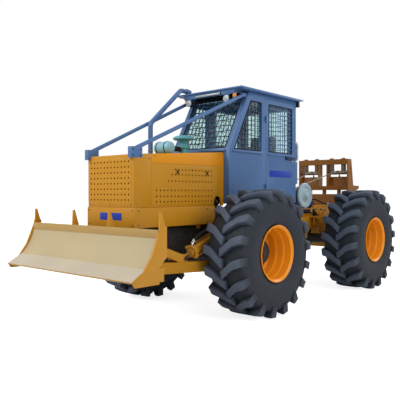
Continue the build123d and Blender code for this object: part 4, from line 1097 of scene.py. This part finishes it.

# ---- Gussets and hoses ahead of the rear wheels ----------------------------------------------------------
# Folded brackets are welded to the rear frame's sides below the winch. They carry its motor, its hoses and
# the pins for chokers. Black plates on the frame's side plates are painted shade in its recesses, and lips,
# rails and the outer ears take a lighter yellow as painted highlight.
REAR_SIDE = 0.400
POCKET_SHADE_SPAN = (REAR_SIDE - 0.004, REAR_SIDE + 0.001)
LIP_SPAN = (REAR_SIDE - 0.002, REAR_SIDE + 0.012)
# The two pocket blocks are black plates, painted shade in the frame's recesses.
BRACKET_BLOCKS = (
    # name, finish, x span, y span, z span, edge rounding
    ("frame_pocket_front_left", "rubber", POCKET_SHADE_SPAN, (2.060, 2.385), (1.216, 1.292), 0.0005),
    ("frame_pocket_rear_left", "rubber", POCKET_SHADE_SPAN, (2.440, 2.600), (1.175, 1.292), 0.0005),
    ("pocket_lip_left", "strip_yellow", LIP_SPAN, (2.060, 2.400), (1.204, 1.217), 0.002),
    ("bracket_shelf_left", "yellow_paint", (REAR_SIDE - 0.002, 0.560), (2.340, 2.640), (1.150, 1.162), 0.002),
    ("bracket_lip_left", "strip_yellow", (0.550, 0.560), (2.340, 2.640), (1.118, 1.160), 0.002),
    ("deck_rail_left", "strip_yellow", (0.372, 0.420), (2.470, 2.960), (1.322, 1.352), 0.003),
)
for name, slot_name, *spans, width in BRACKET_BLOCKS:
    both_sides(block(name, "rear", slot_name, *spans, width))
GUSSET = ((2.352, 1.151), (2.352, 1.030), (2.400, 1.030), (2.600, 1.151))
EAR = ((2.470, 1.161), (2.560, 1.161), (2.690, 1.262), (2.672, 1.300), (2.628, 1.306), (2.575, 1.268))
EAR_BACK = ((2.440, 1.270), (2.470, 1.292), (2.640, 1.190), (2.610, 1.161), (2.560, 1.161))
BRACKET_PLATES = (
    # name, finish, outline, x span, edge rounding
    ("shelf_gusset_left", "yellow_paint", GUSSET, (0.470, 0.482), 0.002),
    ("choker_ear_left", "strip_yellow", EAR, (0.500, 0.514), 0.003),
    ("choker_ear_back_left", "yellow_paint", EAR_BACK, (0.440, 0.452), 0.003),
)
for name, slot_name, outline, x_span, width in BRACKET_PLATES:
    both_sides(cut_plate(name, "rear", slot_name, outline, x_span, width))
BRACKET_RODS = (
    # name, finish, start, end, radius, sides, edge rounding
    ("choker_pin_left", "bare_steel", (0.436, 2.640, 1.275), (0.530, 2.640, 1.275), 0.014, 20, 0.002),
    ("winch_motor_left", "winch_blue", (0.250, 2.500, 1.372), (0.372, 2.500, 1.372), 0.054, 32, 0.006),
    ("winch_motor_port_left", "bare_steel", (0.340, 2.500, 1.420), (0.340, 2.512, 1.446), 0.015, 6, 0.002),
    ("hose_end_left", "rod_chrome", (0.420, 2.890, 1.378), (0.420, 2.935, 1.378), 0.017, 6, 0.002),
)
for name, slot_name, *shape in BRACKET_RODS:
    both_sides(rod(name, "rear", slot_name, *shape))
MOTOR_HOSE = (
    (0.340, 2.512, 1.440), (0.372, 2.560, 1.452), (0.418, 2.660, 1.412), (0.428, 2.780, 1.380),
    (0.420, 2.900, 1.378),
)
both_sides(hose("winch_hose_left", "rear", "rubber", MOTOR_HOSE, 0.013))
LOW_HOSE = (
    (0.408, 2.130, 1.240), (0.430, 2.200, 1.262), (0.436, 2.330, 1.235), (0.425, 2.450, 1.225),
    (0.405, 2.540, 1.240),
)
both_sides(hose("low_hose_left", "rear", "rubber", LOW_HOSE, 0.011))

# ---- Finishes --------------------------------------------------------------------------------------------
# Sprayed paint with faint mottling and road dust low down, dusty tyre rubber, bare and chromed steel,
# toughened glass, woven cloth, moulded plastic and laid wire rope. Each finish is set for one material
# slot.


def shade(red, green, blue):
    """A paint chip's 0 to 255 colour as the linear colour that a shader takes."""
    parts = (red / 255, green / 255, blue / 255)
    linear = [c / 12.92 if c <= 0.04045 else ((c + 0.055) / 1.055) ** 2.4 for c in parts]
    return (*linear, 1.0)


def sum_node(tree, operation, *terms, clamp=False):
    """The result of a sum whose terms are other nodes' outputs or plain numbers."""
    values = {index: term for index, term in enumerate(terms) if isinstance(term, (int, float))}
    feeds = {index: term for index, term in enumerate(terms) if index not in values}
    return add_node(tree, "ShaderNodeMath", feeds, values, operation=operation, use_clamp=clamp).outputs[0]


coat = bpy.data.node_groups.new("worn_coat", "ShaderNodeTree")
COAT_SOCKETS = (
    # name, way, kind, default
    ("Paint", "INPUT", "NodeSocketColor", (0.5, 0.5, 0.5, 1)),
    ("Dust Colour", "INPUT", "NodeSocketColor", (0.32, 0.27, 0.21, 1)),
    ("Dust", "INPUT", "NodeSocketFloat", 0.3),
    ("Mottle", "INPUT", "NodeSocketFloat", 0.12),
    ("Roughness", "INPUT", "NodeSocketFloat", 0.4),
    ("Relief", "INPUT", "NodeSocketFloat", 0.03),
    ("Colour", "OUTPUT", "NodeSocketColor", None),
    ("Gloss Loss", "OUTPUT", "NodeSocketFloat", None),
    ("Surface", "OUTPUT", "NodeSocketVector", None),
)
for socket_name, way, kind, default in COAT_SOCKETS:
    socket = coat.interface.new_socket(socket_name, in_out=way, socket_type=kind)
    if default is not None:
        socket.default_value = default
given = add_node(coat, "NodeGroupInput").outputs
spot = add_node(coat, "ShaderNodeTexCoord").outputs["Object"]
cloud, fleck, peel = (
    add_node(coat, "ShaderNodeTexNoise", {"Vector": spot}, {"Scale": scale, "Detail": detail}).outputs["Fac"]
    for scale, detail in ((2.3, 6), (38, 4), (260, 2))
)
mottle = sum_node(coat, "MULTIPLY_ADD", sum_node(coat, "SUBTRACT", cloud, 0.5), given["Mottle"], 1.0)
tone = add_node(coat, "ShaderNodeVectorMath", {0: given["Paint"], "Scale": mottle}, operation="SCALE")

# Dust lies from the ground up to 1.5 m, thicker where the flecks are.
height = add_node(coat, "ShaderNodeSeparateXYZ", {0: spot}).outputs["Z"]
low = add_node(coat, "ShaderNodeMapRange", {"Value": height}, {"From Min": 1.5, "From Max": 0.3})
flecks = add_node(coat, "ShaderNodeMapRange", {"Value": fleck}, {"From Min": 0.46, "From Max": 0.72})
patch = sum_node(coat, "MULTIPLY_ADD", flecks.outputs[0], 0.55, 0.25)
dust = sum_node(coat, "MULTIPLY", low.outputs[0], patch)
dust = sum_node(coat, "MULTIPLY", dust, given["Dust"], clamp=True)
dust_feeds = {0: dust, 6: tone.outputs[0], 7: given["Dust Colour"]}
dusted = add_node(coat, "ShaderNodeMix", dust_feeds, data_type="RGBA")
rough = sum_node(coat, "MULTIPLY_ADD", dust, 0.4, given["Roughness"], clamp=True)
relief = add_node(coat, "ShaderNodeBump", {"Strength": given["Relief"], "Height": peel}, {"Distance": 0.002})
given_out = {"Colour": dusted.outputs[2], "Gloss Loss": rough, "Surface": relief.outputs[0]}
add_node(coat, "NodeGroupOutput", given_out)


def coated(name, colour, dust_amount, mottling, roughness, relief_depth, metal=0.0, gloss_coat=0.0):
    """A finish whose colour, roughness and fine relief come from the worn coat."""
    finish = bpy.data.materials.new(name)
    finish.use_nodes = True
    tree = finish.node_tree
    wear_values = {
        "Paint": colour,
        "Dust": dust_amount,
        "Mottle": mottling,
        "Roughness": roughness,
        "Relief": relief_depth,
    }
    wear = add_node(tree, "ShaderNodeGroup", values=wear_values, node_tree=coat)
    skin = tree.nodes["Principled BSDF"]
    tree.links.new(wear.outputs["Colour"], skin.inputs["Base Color"])
    tree.links.new(wear.outputs["Gloss Loss"], skin.inputs["Roughness"])
    tree.links.new(wear.outputs["Surface"], skin.inputs["Normal"])
    skin.inputs["Metallic"].default_value = metal
    skin.inputs["Specular IOR Level"].default_value = 0.5 if metal else 0.25
    skin.inputs["Coat Weight"].default_value = gloss_coat
    skin.inputs["Coat Roughness"].default_value = 0.12
    return finish


FINISHES = {
    "tyre": coated("tyre_rubber", shade(40, 47, 57), 0.08, 0.35, 0.6, 0.3),
    "rim_paint": coated("rim_orange", shade(240, 146, 12), 0.1, 0.1, 0.36, 0.02, gloss_coat=0.15),
    "yellow_paint": coated("machine_yellow", shade(186, 128, 18), 0.2, 0.12, 0.42, 0.03, gloss_coat=0.05),
    # A lighter, more orange copy of the yellow is painted highlight on flanges, lips, rails and outer ears.
    "strip_yellow": coated("trim_yellow", shade(214, 138, 6), 0.1, 0.08, 0.4, 0.02, gloss_coat=0.05),
    "blade_paint": coated("blade_tan", shade(178, 160, 122), 0.15, 0.2, 0.5, 0.05),
    "worn_pale": coated("blade_worn_pale", shade(184, 172, 150), 0.1, 0.25, 0.45, 0.06),
    # The blade's top strip takes a darker tan as painted shade.
    "band_tan": coated("blade_band_tan", shade(171, 137, 79), 0.1, 0.15, 0.5, 0.04),
    "black_paint": coated("chassis_black", shade(26, 25, 26), 0.35, 0.2, 0.5, 0.05),
    "cab_paint": coated("cab_blue_grey", shade(74, 106, 150), 0.1, 0.08, 0.42, 0.03, gloss_coat=0.08),
    "guard_steel": coated("guard_blue_black", shade(36, 52, 68), 0.1, 0.1, 0.5, 0.02),
    "teal_paint": coated("stack_teal", shade(86, 156, 162), 0.1, 0.12, 0.35, 0.03, gloss_coat=0.2),
    "can_teal": coated("can_pale_teal", shade(134, 182, 194), 0.1, 0.1, 0.35, 0.03, gloss_coat=0.2),
    "engine_iron": coated("engine_cast_iron", shade(52, 52, 54), 0.4, 0.3, 0.65, 0.2),
    "console_plastic": coated("console_moulding", shade(48, 52, 56), 0.1, 0.1, 0.6, 0.15),
    "rod_chrome": coated("rod_hard_chrome", shade(215, 216, 218), 0.0, 0.03, 0.12, 0.0, metal=1.0),
    "cover_grey": coated("cover_silver_grey", shade(166, 186, 194), 0.1, 0.1, 0.36, 0.03, gloss_coat=0.2),
    "winch_blue": coated("winch_dark_blue", shade(34, 52, 98), 0.2, 0.15, 0.45, 0.05),
    "plate_blue": coated("plate_bright_blue", shade(28, 58, 160), 0.0, 0.04, 0.35, 0.01),
    "bare_steel": coated("roller_bare_steel", shade(122, 104, 84), 0.2, 0.35, 0.45, 0.1, metal=0.6),
    "arch_paint": coated("arch_yellow_brown", shade(130, 80, 20), 0.15, 0.3, 0.5, 0.08),
    # Black rubber for seals and hoses; the same black on sheets, pockets and vent discs is painted shade.
    "rubber": coated("seal_rubber", shade(20, 21, 23), 0.05, 0.1, 0.7, 0.1),
    # Black for lamp cases and plates; on the header plate this black is partly painted shade.
    "lamp_black": coated("lamp_case_black", shade(28, 29, 31), 0.05, 0.05, 0.4, 0.02),
    "grab_white": coated("grab_white", shade(222, 224, 226), 0.05, 0.05, 0.35, 0.02),
    "seat_fabric": coated("seat_woven_cloth", shade(58, 62, 70), 0.0, 0.15, 0.85, 0.5),
    "wire_rope": coated("laid_wire_rope", shade(150, 142, 128), 0.1, 0.4, 0.45, 0.5, metal=0.5),
}

# Lug tops take a paler blue-grey and the lug roots a darker one: partly rubbed wear, partly painted highlight
# and painted shade.
tree = FINISHES["tyre"].node_tree
worn_and_lit = add_node(tree, "ShaderNodeAttribute", attribute_name="tread_wear").outputs["Fac"]
gap_shade_and_top_light = {6: shade(35, 41, 50), 7: shade(74, 84, 99)}
rubbed_and_lit = add_node(tree, "ShaderNodeMix", {0: worn_and_lit}, gap_shade_and_top_light, data_type="RGBA").outputs[2]
tree.links.new(rubbed_and_lit, next(node for node in tree.nodes if node.type == "GROUP").inputs["Paint"])


def lens_finish(name, colour, depth):
    """A clear moulded lamp lens with its colour in the depth and fine ribs on its back."""
    finish = bpy.data.materials.new(name)
    finish.use_nodes = True
    tree = finish.node_tree
    spot = add_node(tree, "ShaderNodeTexCoord").outputs["Object"]
    ribs = add_node(tree, "ShaderNodeTexWave", {"Vector": spot}, {"Scale": 55}, bands_direction="X")
    relief = {"Strength": 0.3, "Distance": 0.002}
    bump = add_node(tree, "ShaderNodeBump", {"Height": ribs.outputs["Fac"]}, relief)
    skin = tree.nodes["Principled BSDF"]
    tree.links.new(bump.outputs[0], skin.inputs["Normal"])
    skin.inputs["Base Color"].default_value = colour
    skin.inputs["Roughness"].default_value = 0.12
    skin.inputs["Coat Weight"].default_value = 0.8
    skin.inputs["Emission Color"].default_value = colour
    skin.inputs["Emission Strength"].default_value = depth
    return finish


FINISHES["lamp_white"] = lens_finish("lens_white", shade(150, 156, 160), 0.01)
FINISHES["lamp_amber"] = lens_finish("lens_amber", shade(224, 138, 30), 0.1)
FINISHES["lamp_red"] = lens_finish("lens_red", shade(150, 24, 20), 0.05)

# The glass is faintly tinted and smeared, and lets light rays through so that the cab isn't dark inside.
glass = bpy.data.materials.new("cab_toughened_glass")
glass.use_nodes = True
tree = glass.node_tree
skin = tree.nodes["Principled BSDF"]
skin.inputs["Base Color"].default_value = (0.72, 0.88, 0.88, 1)
skin.inputs["Transmission Weight"].default_value = 1.0
skin.inputs["IOR"].default_value = 1.45
spot = add_node(tree, "ShaderNodeTexCoord").outputs["Object"]
smear = add_node(tree, "ShaderNodeTexNoise", {"Vector": spot}, {"Scale": 4, "Detail": 5}).outputs["Fac"]
haze = add_node(tree, "ShaderNodeMapRange", {"Value": smear}, {"To Min": 0.015, "To Max": 0.07})
tree.links.new(haze.outputs[0], skin.inputs["Roughness"])
clear = add_node(tree, "ShaderNodeBsdfTransparent", values={"Color": (0.8, 0.9, 0.9, 1)}).outputs[0]
shadow = add_node(tree, "ShaderNodeLightPath").outputs["Is Shadow Ray"]
choose = add_node(tree, "ShaderNodeMixShader", {0: shadow, 1: skin.outputs[0], 2: clear})
tree.links.new(choose.outputs[0], tree.nodes["Material Output"].inputs["Surface"])
FINISHES["cab_glass"] = glass

# A CAD node that is still shown takes its own slot's finish. A slot that isn't in the record is only a look.
node_slots = {part["node"]: part["material_slot"] for part in frame["record"]["subparts"]}
record_slots = {material["slot"] for material in frame["record"]["materials"]}
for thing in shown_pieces():
    slot_name = thing.get("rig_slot") or node_slots.get(thing.name)
    if thing.type != "MESH" or slot_name is None:
        continue
    thing.data.materials.clear()
    thing.data.materials.append(FINISHES[slot_name])
    if slot_name not in record_slots:
        del thing["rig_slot"]
